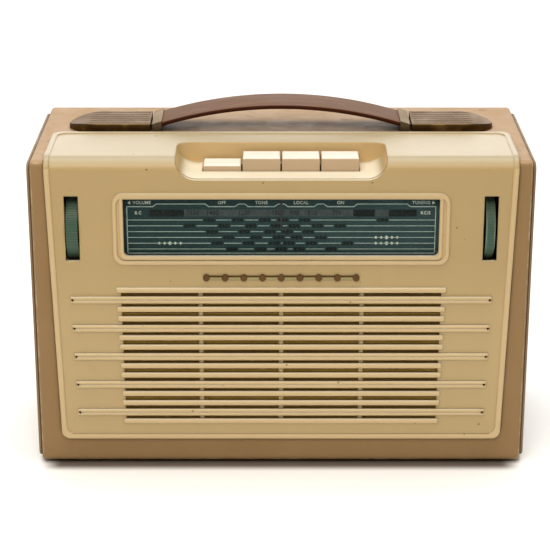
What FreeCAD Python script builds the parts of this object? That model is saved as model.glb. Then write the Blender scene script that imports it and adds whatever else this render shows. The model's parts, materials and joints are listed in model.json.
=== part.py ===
import FreeCAD, Part
import math
import os
import re
import Sketcher

# A leathercloth-covered portable radio, in millimetres. +X is the listener's right, -Y the front and +Z up.
# The origin is under the middle of the set, at the bottom of its feet.

V = FreeCAD.Vector

# ---------------------------------------------------------------- driving dimensions

DIMENSIONS = {
    # covered cabinet
    "body_half": 144,
    "base_level": 1.6,
    "top_level": 190,
    "front_face": -57.5,
    "back_face": 61.1,
    "cloth": 0.8,
    "board": 8,
    "crease": 3.5,
    "side_crease": 2.2,
    "panel_proud": 2.1,
    "panel_inset": 3.1,
    "panel_top_inset": 2,
    "panel_low_inset": 1.4,
    "panel_corner": 5,
    "panel_edge": 0.9,
    "baffle": 6,
    "foot_radius": 4.6,
    "foot_span": 124,
    "foot_inset": 10,
    # openings cut behind the moulding
    "window_half": 127,
    "window_low": 126.5,
    "window_high": 174.5,
    "grille_half": 104,
    "grille_low": 22,
    "grille_high": 118.5,
    "well_half": 66,
    "well_back": -17.5,
    # cream moulding
    "plate": 2,
    "lip": 0.6,
    "lip_width": 3,
    "mould_half_top": 135.6,
    "mould_half_low": 131.1,
    "mould_low": 17.8,
    "mould_back": -3.5,
    "mould_crown": 8,
    "mould_corner": 5,
    "mould_back_corner": 6,
    # dial bezel
    "bezel_half": 97,
    "bezel_low": 128.5,
    "bezel_high": 171.7,
    "bezel_corner": 6,
    "bezel_rim": 2.2,
    "bezel_proud": 1,
    "dial_half": 91,
    "dial_low": 133.5,
    "dial_high": 168.3,
    "dial_corner": 3,
    "dial_rim": 2,
    "dial_rim_proud": 0.7,
    # key recess
    "recess_floor": 179.5,
    "recess_flat": 48.7,
    "recess_round": 12,
    "recess_wall": 2,
    "recess_back": -24.1,
    "recess_corner": 7,
    "recess_block_front": -56,
    "key_slot_half": 45.7,
    "key_slot_front": -41.8,
    "key_slot_back": -26,
    # thumb wheel slots and wheels
    "slot_centre": 120.6,
    "slot_half": 4.1,
    "slot_low": 130.6,
    "slot_high": 169.9,
    "wheel_axis_y": -39.6,
    "wheel_axis_z": 147.75,
    "wheel_radius": 21.5,
    "wheel_width": 5.4,
    "wheel_bevel": 0.8,
    "wheel_ribs": 130,
    "rib_radius": 0.3,
    "hub_radius": 6,
    "hub_end": 113.4,
    "shaft_radius": 3,
    "volume_shaft_end": 104,
    "tuning_shaft_end": 101,
    "running_gap": 0.05,
    # louvres
    "bar_pitch": 5.96,
    "bar_top": 112.7,
    "short_bar": 3.4,
    "short_half": 96,
    "long_bar": 4.4,
    "long_half": 123,
    "bar_taper": 0.165,
    "bar_proud": 0.45,
    "fin_proud": 0.8,
    "bead_bulge": 1.15,
    "skin_gap": 0.2,
    "slot_bar_half": 93.3,
    "rib_spacing": 47,
    "rib_width": 2.6,
    "rib_front": -58.9,
    "fin_hole": 0.8,
    # name bar
    "name_half": 43.5,
    "name_level": 120.5,
    "name_height": 2.2,
    "name_proud": 1,
    "bead_radius": 2,
    "bead_proud": 1.4,
    "bead_count": 9,
    # dial parts
    "glass_half": 94,
    "glass_low": 130.5,
    "glass_high": 171.3,
    "glass_back": -56,
    "glass_front": -58.9,
    "glass_gap": 0.2,
    "scale_half": 93.5,
    "scale_low": 131,
    "scale_high": 171,
    "scale_front": -54.9,
    "scale_sheet": 0.8,
    # keys and their bank
    "key_pitch": 22.8,
    "key_width": 21.9,
    "key_front": -41.3,
    "key_back": -26.5,
    "key_top": 187.4,
    "key_height": 14,
    "key_round": 1.1,
    "key_travel": 4.4,
    "stem_width": 5,
    "stem_thick": 2.4,
    "stem_y": -33.9,
    "stem_low": 138,
    "peg_radius": 1.2,
    "peg_back": -27.9,
    "peg_level": 157.2,
    "collar_radius": 4.2,
    "collar_level": 154.6,
    "collar_thick": 1.6,
    "frame_half": 52,
    "frame_sheet": 1.2,
    "frame_low": 140,
    "frame_high": 168,
    "frame_front": -42,
    "frame_back": -25.8,
    "stem_clearance": 0.4,
    "stud_radius": 1.5,
    "rocker_level": 155,
    "rocker_front": -29.2,
    "rocker_thick": 1,
    "rocker_half": 37.6,
    "rocker_mid": 4,
    "rocker_end": 3.1,
    "rocker_tilt": 3.69,
    "peg_slot_wide": 1.8,
    "peg_slot_high": 1.5,
    "spring_radius": 3.6,
    "spring_wire": 0.35,
    "spring_low": 141.7,
    "spring_height": 12.4,
    "spring_turns": 6,
    # dial drive
    "chassis_half": 112,
    "chassis_sheet": 0.8,
    "chassis_low": 118.5,
    "chassis_high": 174,
    "chassis_tab_high": 180,
    "chassis_tab_in": 68,
    "chassis_tab_out": 110,
    "cheek_sheet": 1.2,
    "cheek_back": -28,
    "cheek_low": 136,
    "cheek_high": 164.5,
    "rail_level": 168,
    "rail_y": -46.1,
    "rail_radius": 1,
    "rail_half": 60,
    "rail_tab": 58,
    "cord_radius": 0.4,
    "cord_right": 108.3,
    "cord_turn_shift": 0.9,
    "cord_left": -96,
    "cord_low": 128,
    "cord_high": 172,
    "cord_bend": 4,
    "guide_core": 3.6,
    "guide_flange": 5.2,
    "guide_groove": 0.6,
    "guide_rim": 0.6,
    "drum_radius": 5.8,
    "drum_flange": 8,
    "drum_inner": 106,
    "drum_outer": 109.6,
    "drum_rim": 0.6,
    "spindle_radius": 4.5,
    "spindle_inner": 101.5,
    "carriage_half": 4,
    "carriage_low": 165.8,
    "carriage_high": 173.6,
    "carriage_front": -48.3,
    "carriage_back": -44,
    "arm_low": 174.6,
    "arm_thick": 0.8,
    "blade_half": 0.6,
    "blade_low": 149,
    "blade_front": -55.7,
    "blade_thick": 0.5,
    # tuning gang
    "gang_y": -15,
    "gang_inner": 64,
    "gang_outer": 98.5,
    "gang_sheet": 1.5,
    "gang_half": 18,
    "gang_reach": 9,
    "gang_bar": 2,
    "vane": 0.6,
    "vane_pitch": 4,
    "vane_count": 6,
    "vane_start": 70,
    "rotor_radius": 16.5,
    "rotor_shaft": 2.5,
    "disc_radius": 19.8,
    "disc_inner": 102.4,
    "disc_thick": 1.4,
    # volume control
    "pot_radius": 9,
    "pot_inner": 98,
    # loudspeaker
    "speaker_level": 71,
    "flange_wide": 70,
    "flange_high": 46,
    "flange_thick": 1.5,
    "opening_wide": 62,
    "opening_high": 39,
    "mouth_margin": 3,
    "ellipse_slack": 0.01,
    "basket_wall": 1.1,
    "basket_back": -24,
    "basket_neck": 23,
    "magnet_radius": 21,
    "magnet_back": -12,
    "yoke_radius": 24,
    "yoke_back": -9,
    "cone_neck": 11,
    "cone_back": -29,
    "cone_wall": 0.7,
    "cap_radius": 13,
    "screw_x": 50,
    "screw_z": 29.6,
    "screw_shank": 1.5,
    "screw_head": 3.3,
    # electronics
    "card_left": -55,
    "card_right": 126,
    "card_low": 22,
    "card_high": 124,
    "card_front": 20,
    "card_thick": 1.6,
    "bracket_width": 10,
    "bracket_sheet": 1.2,
    "bracket_high": 40,
    "bracket_foot": 12,
    # aerial
    "rod_radius": 5,
    "rod_half": 95,
    "rod_y": 38,
    "rod_level": 166,
    "coil_radius": 6.8,
    "coil_length": 32,
    "coil_centre": 68,
    "clip_centre": 40,
    "clip_width": 8,
    "clip_half": 8,
    "clip_drop": 8,
    # battery
    "cell_left": -130,
    "cell_wide": 66,
    "cell_front": -2,
    "cell_deep": 52,
    "cell_low": 12,
    "cell_high": 81,
    "cell_round": 2,
    "terminal_radius": 3.6,
    "terminal_height": 3,
    "clamp_front": 14,
    "clamp_wide": 20,
    "clamp_sheet": 1.2,
    "lead_radius": 0.9,
    # rear cover
    "cover_half": 134.8,
    "cover_thick": 8,
    "cover_outer": 59.9,
    "cover_high": 180.8,
    "hinge_level": 16.2,
    "pin_radius": 1.5,
    "pin_inner": 127,
    "pin_outer": 141,
    "vent_half": 20,
    "vent_height": 3,
    "vent_pitch": 8,
    "pull_half": 9,
    "pull_low": 164,
    "pull_high": 178,
    "pull_proud": 1.1,
    # handle
    "strap_y": 16,
    "strap_half_width": 14.5,
    "strap_top": 207.5,
    "strap_radius": 248.7,
    "strap_thick": 2.6,
    "strap_middle": 11.6,
    "strap_gap": 0.8,
    "ferrule_inner": 71.4,
    "ferrule_outer": 77.1,
    "ferrule_margin": 0.4,
    "ferrule_low": 191,
    "ferrule_top_inner": 197.7,
    "ferrule_top_outer": 195.9,
    "tongue_half": 5,
    "tongue_low": 191.2,
    "tongue_high": 193,
    "tee_inner": 82,
    "tee_outer": 84.5,
    "tee_half": 9,
    "tee_low": 191,
    "tee_high": 193.2,
    "cap_inner": 78.3,
    "cap_straight": 108,
    "cap_nose": 128.4,
    "cap_half": 15,
    "cap_height": 6,
    "cap_arc": 21.4,
    "cap_nose_round": 7,
    "cap_dome_arc": 62.9,
    "cap_dome_drop": 3.75,
    "cap_edge": 0.9,
    "cap_wall": 1.3,
    "cavity_end": 92,
    "cavity_half": 11,
    "cavity_height": 4.2,
    "cap_groove": 0.5,
    "cap_groove_pitch": 4.4,
    "cap_groove_depth": 0.5,
}

doc = FreeCAD.newDocument("portable_radio")
sheet = doc.addObject("Spreadsheet::Sheet", "dims")
for row, (alias, number) in enumerate(DIMENSIONS.items(), start=1):
    sheet.set(f"A{row}", alias)
    sheet.set(f"B{row}", str(number))
    sheet.setAlias(f"B{row}", alias)
doc.recompute()

# ---------------------------------------------------------------- helpers

SUBPARTS = []  # the finished objects, one per file


def linked(text):
    """The expression with each alias written as a reference to the sheet."""
    return re.sub(r"\b(?!sqrt)[a-z][a-z_0-9]*", r"dims.\g<0>", str(text))


def value(text):
    """The number an expression gives now."""
    return float(sheet.evalExpression(linked(text)))


def bind(obj, path, text):
    obj.setExpression(path, linked(text))


def finish(obj, node):
    """Names a finished sub-part and keeps it for export."""
    obj.Label = node
    SUBPARTS.append(obj)
    return obj


def draw_outline(sketch, corners):
    """Closes an outline through the corners, each (across, up) or (across, up, radius, turn).

    With four numbers the edge that leaves the corner is an arc; turn is 1 when its centre is on the left
    of the way round.
    """
    points = [V(value(corner[0]), value(corner[1]), 0) for corner in corners]
    first = sketch.GeometryCount
    for index, corner in enumerate(corners):
        start, end = points[index], points[(index + 1) % len(corners)]
        if len(corner) == 2:
            sketch.addGeometry(Part.LineSegment(start, end))
            continue
        radius = value(corner[2])
        chord = end - start
        left = V(-chord.y, chord.x, 0).normalize()
        rise = math.sqrt(radius**2 - (chord.Length / 2) ** 2)
        centre = (start + end) * 0.5 + left * (rise * corner[3])
        angle = [math.atan2(p.y - centre.y, p.x - centre.x) for p in (start, end)]
        if corner[3] < 0:
            angle.reverse()
        sketch.addGeometry(Part.ArcOfCircle(Part.Circle(centre, V(0, 0, 1), radius), *angle))
    ends = {}
    for index, corner in enumerate(corners):
        flipped = len(corner) == 4 and corner[3] < 0
        ends[index] = (2, 1) if flipped else (1, 2)
    for index, corner in enumerate(corners):
        following = (index + 1) % len(corners)
        edge = first + index
        sketch.addConstraint(
            Sketcher.Constraint("Coincident", edge, ends[index][1], first + following, ends[following][0])
        )
        for kind, axis in (("DistanceX", 0), ("DistanceY", 1)):
            number = sketch.addConstraint(
                Sketcher.Constraint(kind, -1, 1, edge, ends[index][0], points[index][axis])
            )
            bind(sketch, f"Constraints[{number}]", corner[axis])
        if len(corner) == 4:
            number = sketch.addConstraint(Sketcher.Constraint("Radius", edge, value(corner[2])))
            bind(sketch, f"Constraints[{number}]", corner[2])


def draw_rectangle(sketch, left, right, low, high):
    draw_outline(sketch, [(left, low), (right, low), (right, high), (left, high)])


def draw_circle(sketch, across, up, radius):
    centre = V(value(across), value(up), 0)
    edge = sketch.addGeometry(Part.Circle(centre, V(0, 0, 1), value(radius)))
    for kind, text, number in (("DistanceX", across, centre.x), ("DistanceY", up, centre.y)):
        made = sketch.addConstraint(Sketcher.Constraint(kind, -1, 1, edge, 3, number))
        bind(sketch, f"Constraints[{made}]", text)
    made = sketch.addConstraint(Sketcher.Constraint("Radius", edge, value(radius)))
    bind(sketch, f"Constraints[{made}]", radius)


def new_body(name):
    return doc.addObject("PartDesign::Body", name)


def plane_of(body, role):
    return next(item for item in body.Origin.OriginFeatures if item.Role == role)


def new_sketch(body, role, offset="0"):
    """A sketch on one of the body's origin planes, moved along that plane's row axis to the offset."""
    sketch = body.newObject("Sketcher::SketchObject", body.Name + "_sketch")
    sketch.AttachmentSupport = (plane_of(body, role), [""])
    sketch.MapMode = "FlatFace"
    bind(sketch, "AttachmentOffset.Base.z", f"-({offset})" if role == "XZ_Plane" else offset)
    return sketch


def pad(body, sketch, length):
    """Extrudes towards the row axis's plus side."""
    feature = body.newObject("PartDesign::Pad", body.Name + "_pad")
    feature.Profile = sketch
    bind(feature, "Length", length)
    feature.Reversed = "XZ_Plane" in sketch.AttachmentSupport[0][0].Role
    sketch.Visibility = False
    doc.recompute()
    return feature


def pocket(body, sketch, length=None):
    """Cuts towards the row axis's plus side, or all the way through both ways when no length is given."""
    before = body.Shape.Volume
    feature = body.newObject("PartDesign::Pocket", body.Name + "_pocket")
    feature.Profile = sketch
    if length is None:
        feature.Type = "ThroughAll"
        feature.Midplane = True
    else:
        bind(feature, "Length", length)
        feature.Reversed = sketch.AttachmentSupport[0][0].Role != "XZ_Plane"
    sketch.Visibility = False
    doc.recompute()
    if not body.Shape.Volume < before - 1e-6:
        raise RuntimeError(f"{feature.Label} cuts nothing")
    return feature


def edges_where(shape, test):
    """The names of the straight edges whose direction and middle pass the test."""
    names = []
    for index, edge in enumerate(shape.Edges, start=1):
        if edge.Curve.TypeId == "Part::GeomLine":
            along = edge.tangentAt(edge.FirstParameter)
            middle = (edge.Vertexes[0].Point + edge.Vertexes[-1].Point) * 0.5
            if test(along, middle):
                names.append(f"Edge{index}")
    return names


def round_edges(body, radius, test):
    base = body.Tip
    names = edges_where(body.Shape, test)
    feature = body.newObject("PartDesign::Fillet", body.Name + "_fillet")
    feature.Base = (base, names)
    bind(feature, "Radius", radius)
    doc.recompute()
    return feature


def box(name, x, y, z):
    """A Part box from (low, high) pairs of expressions along each row axis."""
    solid = doc.addObject("Part::Box", name)
    for axis, side, (low, high) in (("x", "Length", x), ("y", "Width", y), ("z", "Height", z)):
        bind(solid, side, f"({high}) - ({low})")
        bind(solid, "Placement.Base." + axis, low)
    return solid


TURNS = {
    "x": FreeCAD.Rotation(V(0, 1, 0), 90),
    "y": FreeCAD.Rotation(V(1, 0, 0), -90),
    "z": FreeCAD.Rotation(),
}


def cylinder(name, axis, radius, x, y, z, length):
    """A Part cylinder that runs from the point along the row axis's plus side."""
    solid = doc.addObject("Part::Cylinder", name)
    solid.Placement = FreeCAD.Placement(V(), TURNS[axis])
    bind(solid, "Radius", radius)
    bind(solid, "Height", length)
    for letter, text in (("x", x), ("y", y), ("z", z)):
        bind(solid, "Placement.Base." + letter, text)
    return solid


FACING = {
    "x": FreeCAD.Rotation(V(1, 1, 1), 120),
    "y": FreeCAD.Rotation(V(1, 0, 0), 90),
    "z": FreeCAD.Rotation(),
}
NORMALS = {"x": V(1, 0, 0), "y": V(0, 1, 0), "z": V(0, 0, 1)}


def prism(name, axis, corners, start, length):
    """A Part extrusion along a row axis, of an outline drawn across it."""
    sketch = doc.addObject("Sketcher::SketchObject", name + "_outline")
    sketch.Placement = FreeCAD.Placement(V(), FACING[axis])
    draw_outline(sketch, corners)
    sketch.Visibility = False
    solid = doc.addObject("Part::Extrusion", name)
    solid.Base = sketch
    solid.DirMode = "Custom"
    solid.Dir = NORMALS[axis]
    solid.Solid = True
    bind(solid, "LengthFwd", length)
    bind(solid, "Placement.Base." + axis, start)
    return solid


def fuse(name, parts):
    solid = doc.addObject("Part::MultiFuse", name)
    solid.Shapes = parts
    return solid


def common(name, parts):
    solid = doc.addObject("Part::MultiCommon", name)
    solid.Shapes = parts
    return solid


def cut(name, base, tool):
    solid = doc.addObject("Part::Cut", name)
    solid.Base = base
    solid.Tool = tool
    return solid


def rounded(name, base, radius, test):
    """A Part fillet on the edges that pass the test."""
    doc.recompute()
    solid = doc.addObject("Part::Fillet", name)
    solid.Base = base
    size = value(radius)
    solid.Edges = [(int(edge[4:]), size, size) for edge in edges_where(base.Shape, test)]
    return solid


def runs_along(axis):
    """A test for edges parallel to a row axis."""
    return lambda along, middle: abs(getattr(along, axis)) > 0.99


# ---------------------------------------------------------------- cabinet


def round_front(inset, back):
    """The cabinet's side outline, moved in by the inset, with its two front corners rounded."""
    front, low, high = f"(front_face + {inset})", f"(base_level + {inset})", f"(top_level - {inset})"
    radius = f"(crease - {inset})"
    return [
        (f"{front} + {radius}", low),
        (back, low),
        (back, high),
        (f"{front} + {radius}", high, radius, 1),
        (front, f"{high} - {radius}"),
        (front, f"{low} + {radius}", radius, 1),
    ]


def make_cabinet_shell():
    """The wooden top, bottom and side boards, open at the front and back."""
    body = new_body("cabinet_shell")
    sketch = new_sketch(body, "YZ_Plane", "cloth - body_half")
    draw_outline(sketch, round_front("cloth", "back_face"))
    pad(body, sketch, "2 * (body_half - cloth)")
    inside = new_sketch(body, "XZ_Plane")
    inner_half = "body_half - cloth - board"
    draw_rectangle(
        inside, f"-({inner_half})", inner_half, "base_level + cloth + board", "top_level - cloth - board"
    )
    pocket(body, inside)
    well = new_sketch(body, "XY_Plane", "window_high")
    draw_rectangle(well, "-well_half", "well_half", "front_face - 1", "well_back")
    pocket(body, well, "top_level - window_high")
    pins = new_sketch(body, "YZ_Plane", "-pin_outer")
    draw_circle(pins, "cover_outer - cover_thick / 2", "hinge_level", "pin_radius")
    pocket(body, pins, "2 * pin_outer")
    finish(body, "cabinet_shell")


def make_leathercloth():
    """The covering: a thin skin over the top, front, bottom and sides, cut away behind the moulding."""
    body = new_body("leathercloth")
    sketch = new_sketch(body, "YZ_Plane", "-body_half")
    draw_outline(sketch, round_front("0", "back_face"))
    pad(body, sketch, "2 * body_half")
    side = value("body_half")
    round_edges(
        body,
        "side_crease",
        lambda along, middle: abs(along.y) > 0.99 and abs(abs(middle.x) - side) < 0.1,
    )
    inside = new_sketch(body, "YZ_Plane", "cloth - body_half")
    draw_outline(inside, round_front("cloth", "back_face + 1"))
    pocket(body, inside, "2 * (body_half - cloth)")
    openings = new_sketch(body, "XZ_Plane", "front_face - 1")
    draw_rectangle(openings, "-window_half", "window_half", "window_low", "window_high")
    draw_rectangle(openings, "-grille_half", "grille_half", "grille_low", "grille_high")
    pocket(body, openings, "2 + cloth")
    well = new_sketch(body, "XY_Plane", "window_high")
    draw_rectangle(well, "-well_half", "well_half", "front_face - 1", "well_back")
    pocket(body, well, "top_level - window_high + 1")
    finish(body, "leathercloth")


def make_end_panel(node, start):
    body = new_body(node)
    sketch = new_sketch(body, "YZ_Plane", start)
    draw_rectangle(
        sketch,
        "front_face + panel_inset",
        "back_face - panel_inset",
        "base_level + panel_low_inset",
        "top_level - panel_top_inset",
    )
    pad(body, sketch, "panel_proud")
    round_edges(body, "panel_corner", runs_along("x"))
    outer_face = value("body_half + panel_proud")
    round_edges(body, "panel_edge", lambda along, middle: abs(middle.x) > outer_face - 0.01)
    finish(body, node)


def make_baffle_board():
    """The inner front board, with openings for the dial, the wheels, the key recess and the loudspeaker."""
    inner_half = "body_half - cloth - board"
    low = "base_level + cloth + board"
    high = "top_level - cloth - board"
    back = "front_face + cloth + baffle"
    board = box("baffle_blank", (f"-({inner_half})", inner_half), ("front_face + cloth", back), (low, high))
    window = box(
        "baffle_window",
        ("-window_half", "window_half"),
        ("front_face", "0"),
        ("window_low", "window_high"),
    )
    well = box("baffle_well", ("-well_half", "well_half"), ("front_face", "0"), ("window_low", "top_level"))
    tools = fuse("baffle_openings", [window, well, ellipse_prism(), screw_shanks("baffle_screw_holes")])
    finish(cut("baffle_board", board, tools), "baffle_board")


def make_feet():
    feet = []
    for side in ("-", ""):
        for y in ("front_face + foot_inset", "back_face - foot_inset"):
            feet.append(
                cylinder("foot", "z", "foot_radius", side + "foot_span", y, "0", "base_level")
            )
    finish(fuse("feet", feet), "feet")


def make_rear_cover():
    """The back door, hinged on two pins in its half-round bottom edge, with two groups of vents."""
    body = new_body("rear_cover")
    sketch = new_sketch(body, "YZ_Plane", "-cover_half")
    inner = "cover_outer - cover_thick"
    draw_outline(
        sketch,
        [
            (inner, "cover_high"),
            (inner, "hinge_level", "cover_thick / 2 + 0.0001", 1),
            ("cover_outer", "hinge_level"),
            ("cover_outer", "cover_high"),
        ],
    )
    pad(body, sketch, "2 * cover_half")
    vents = new_sketch(body, "XZ_Plane")
    for column in (-1, 1):
        for level in range(8):
            centre = f"{column} * 1.8 * vent_half"
            low = f"speaker_level - 4 * vent_pitch + {level} * vent_pitch"
            draw_rectangle(
                vents, f"{centre} - vent_half", f"{centre} + vent_half", low, f"{low} + vent_height"
            )
    pocket(body, vents)
    pins = new_sketch(body, "YZ_Plane", "-cover_half")
    draw_circle(pins, "cover_outer - cover_thick / 2", "hinge_level", "pin_radius + running_gap")
    pocket(body, pins, "cover_half - pin_inner + 0.5")
    pins = new_sketch(body, "YZ_Plane", "pin_inner - 0.5")
    draw_circle(pins, "cover_outer - cover_thick / 2", "hinge_level", "pin_radius + running_gap")
    pocket(body, pins, "cover_half - pin_inner + 1")
    finish(body, "rear_cover")

    pull = box(
        "pull_blank",
        ("-pull_half", "pull_half"),
        ("cover_outer", "cover_outer + pull_proud"),
        ("pull_low", "pull_high"),
    )
    finish(rounded("cover_pull", pull, "3", runs_along("y")), "cover_pull")

    pins = []
    for start in ("-pin_outer", "pin_inner"):
        pins.append(
            cylinder(
                "hinge_pin",
                "x",
                "pin_radius",
                start,
                "cover_outer - cover_thick / 2",
                "hinge_level",
                "pin_outer - pin_inner",
            )
        )
    finish(fuse("hinge_pins", pins), "hinge_pins")


# ---------------------------------------------------------------- front moulding


def l_section(front, top, radius):
    """The moulding's side outline: a front wall and a top wall that meet in a round crown."""
    return [
        ("front_face", "mould_low"),
        (front, "mould_low"),
        (front, f"{top} - ({radius})", radius, -1),
        (f"{front} + {radius}", top),
        ("mould_back", top),
        ("mould_back", "top_level"),
        ("front_face + crease", "top_level", "crease", 1),
        ("front_face", "top_level - crease"),
    ]


def front_outline(inset):
    """The moulding seen from the front, narrowing downwards, with round lower corners."""
    low = f"mould_low + {inset}"
    half = f"(mould_half_low - {inset})"
    corner = "mould_corner"
    top_half = f"(mould_half_top - {inset})"
    return [
        (f"-{half} + {corner}", low),
        (f"{half} - {corner}", low, corner, 1),
        (half, f"{low} + {corner}"),
        (top_half, "top_level - crease"),
        (top_half, "top_level + 5"),
        (f"-{top_half}", "top_level + 5"),
        (f"-{top_half}", "top_level - crease"),
        (f"-{half}", f"{low} + {corner}", corner, 1),
    ]


def plan_outline(inset):
    """The moulding seen from above, with round back corners."""
    half = f"(mould_half_top - {inset})"
    back = f"(mould_back - {inset})"
    corner = "mould_back_corner"
    return [
        (f"-{half}", "front_face - 5"),
        (half, "front_face - 5"),
        (half, f"{back} - {corner}", corner, 1),
        (f"{half} - {corner}", back),
        (f"-{half} + {corner}", back, corner, 1),
        (f"-{half}", f"{back} - {corner}"),
    ]


def moulded_slab(name, front, top, radius, inset):
    long_way = "2 * mould_half_top"
    side = prism(name + "_side", "x", l_section(front, top, radius), "-mould_half_top", long_way)
    face = prism(name + "_face", "y", front_outline(inset), "front_face - 5", "100")
    plan = prism(name + "_plan", "z", plan_outline(inset), "0", "top_level + 10")
    return common(name, [side, face, plan])


def ring(name, half, low, high, width, proud, corner):
    """A raised rectangular rim on the moulding's face."""
    face = "front_face - plate"
    outer = box(name + "_outer", (f"-{half}", half), (f"{face} - {proud}", "front_face"), (low, high))
    outer = rounded(name + "_outer_round", outer, corner, runs_along("y"))
    inner = box(
        name + "_inner",
        (f"{width} - {half}", f"{half} - {width}"),
        (f"{face} - {proud} - 1", face),
        (f"{low} + {width}", f"{high} - {width}"),
    )
    inner = rounded(name + "_inner_round", inner, f"{corner} - {width} / 2", runs_along("y"))
    return cut(name, outer, inner)


def recess_outline(wall):
    """The key recess across the set: a flat floor with quarter-round ends."""
    floor = f"(recess_floor - {wall})"
    radius = f"(recess_round + {wall})"
    top = f"(recess_floor + recess_round)"
    high = "(top_level + 6)"
    end = f"(recess_flat + {radius})"
    return [
        ("-recess_flat", floor),
        ("recess_flat", floor, radius, 1),
        (end, top),
        (end, high),
        (f"-{end}", high),
        (f"-{end}", top, radius, 1),
    ]


def louvre_section(level, height, front, beads):
    """A bar's end view: one or two round beads on a flat back."""
    bead = f"({height} / {beads})"
    bulge = f"({bead} / 2 * bead_bulge)"
    low = f"({level} - {height} / 2)"
    corners = [("front_face", f"{low} + {height}"), ("front_face", low)]
    for count in range(beads):
        corners.append((front, f"{low} + {count} * {bead}", bulge, -1))
    corners.append((front, f"{low} + {height}"))
    return corners


def make_front_moulding():
    face = "(front_face - plate)"
    crown = "(top_level + plate)"
    blank = moulded_slab("mould_blank", f"({face} - lip)", f"({crown} + lip)", "(mould_crown + lip)", "0")
    # the panel inside the lip is sunk: everything above its skin is planed away
    field = moulded_slab("mould_field", f"({face} - 2)", f"({crown} + 2)", "(mould_crown + 2)", "lip_width")
    core = prism(
        "mould_core",
        "x",
        l_section(face, crown, "mould_crown"),
        "-mould_half_top",
        "2 * mould_half_top",
    )
    planed = cut("mould_planed", blank, cut("mould_shaving", field, core))

    bezel = ring(
        "bezel", "bezel_half", "bezel_low", "bezel_high", "bezel_rim", "bezel_proud", "bezel_corner"
    )
    rim = box(
        "dial_rim_box",
        ("-dial_half - dial_rim", "dial_half + dial_rim"),
        (f"{face} - dial_rim_proud", "front_face"),
        ("dial_low - dial_rim", "dial_high + dial_rim"),
    )
    rim = rounded("dial_rim_round", rim, "dial_corner", runs_along("y"))

    recess_deep = "recess_back + recess_wall - recess_block_front"
    block = prism(
        "recess_block", "y", recess_outline("recess_wall"), "recess_block_front", recess_deep
    )
    trim = box(
        "recess_trim",
        ("-recess_flat - 20", "recess_flat + 20"),
        ("recess_block_front - 1", "recess_back + 5"),
        ("top_level", "top_level + 20"),
    )
    block = cut("recess_trimmed", block, trim)

    bars, slots = [], []
    for row in range(15):
        level = f"(bar_top - {row} * bar_pitch)"
        is_fin = row % 3 == 1
        height = "long_bar" if is_fin else "short_bar"
        half = f"({'long_half' if is_fin else 'short_half'} - {row} * bar_taper)"
        proud = f"{face} - {'fin_proud' if is_fin else 'bar_proud'}"
        section = louvre_section(level, height, proud, 2 if is_fin else 1)
        bars.append(prism("louvre_bar", "x", section, f"-{half}", f"2 * {half}"))
        if row < 14:
            next_level = f"(bar_top - {row + 1} * bar_pitch)"
            next_height = "long_bar" if (row + 1) % 3 == 1 else "short_bar"
            slot_half = f"(slot_bar_half - {row} * bar_taper / 2)"
            slots.append(
                box(
                    "louvre_slot",
                    (f"-{slot_half}", slot_half),
                    ("front_face - 6", "front_face + 1"),
                    (f"{next_level} + {next_height} / 2", f"{level} - {height} / 2"),
                )
            )
    opening = box(
        "dial_opening",
        ("-dial_half", "dial_half"),
        ("front_face - 6", "front_face + 1"),
        ("dial_low", "dial_high"),
    )
    opening = rounded(
        "dial_opening_round",
        opening,
        "dial_corner",
        lambda along, middle: abs(along.y) > 0.99 and middle.z < value("dial_low") + 1,
    )
    wheel_slots = [
        box(
            "wheel_slot",
            (f"{side} * slot_centre - slot_half", f"{side} * slot_centre + slot_half"),
            ("front_face - 6", "front_face + 1"),
            ("slot_low", "slot_high"),
        )
        for side in (-1, 1)
    ]
    recess = prism(
        "recess_hollow", "y", recess_outline("0"), "front_face - 6", "recess_back - front_face + 6"
    )
    recess_end = "(recess_flat + recess_round)"
    plan = box(
        "recess_plan",
        (f"-{recess_end}", recess_end),
        ("front_face - 6", "recess_back"),
        ("recess_floor", "top_level + 6"),
    )
    plan = rounded(
        "recess_plan_round",
        plan,
        "recess_corner",
        lambda along, middle: abs(along.z) > 0.99 and middle.y > value("recess_back") - 1,
    )
    recess = common("recess_cornered", [recess, plan])
    key_slot = box(
        "key_slot",
        ("-key_slot_half", "key_slot_half"),
        ("key_slot_front", "key_slot_back"),
        ("recess_floor - 10", "recess_floor + 1"),
    )
    fin_holes = []
    for row in range(1, 15, 3):
        for side in (-1, 1):
            fin_holes.append(
                cylinder(
                    "fin_hole",
                    "y",
                    "fin_hole",
                    f"{side} * (long_half - {row} * bar_taper - 1.1)",
                    "front_face - 4",
                    f"bar_top - {row} * bar_pitch",
                    "3",
                )
            )
    walls = fuse("mould_walls", [planed, bezel, rim, block])
    openings = fuse("mould_openings", slots + [opening, recess, key_slot] + wheel_slots)
    pierced = cut("mould_pierced", walls, openings)
    ribs = [
        box(
            "louvre_rib",
            (f"{side} * rib_spacing - rib_width / 2", f"{side} * rib_spacing + rib_width / 2"),
            ("rib_front", "front_face"),
            ("bar_top - 14 * bar_pitch", "bar_top"),
        )
        for side in (-1, 0, 1)
    ]
    barred = fuse("mould_barred", [pierced] + bars + ribs)
    finish(cut("front_moulding", barred, fuse("fin_holes", fin_holes)), "front_moulding")


def make_name_bar():
    face = "front_face - plate"
    pieces = [
        box(
            "name_strip",
            ("-name_half", "name_half"),
            (f"{face} - name_proud", face),
            ("name_level - name_height / 2", "name_level + name_height / 2"),
        )
    ]
    for index in range(int(value("bead_count"))):
        pieces.append(
            cylinder(
                "name_bead",
                "y",
                "bead_radius",
                f"-name_half + {index} * 2 * name_half / (bead_count - 1)",
                f"{face} - bead_proud",
                "name_level",
                "bead_proud",
            )
        )
    finish(fuse("name_bar", pieces), "name_bar")


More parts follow.
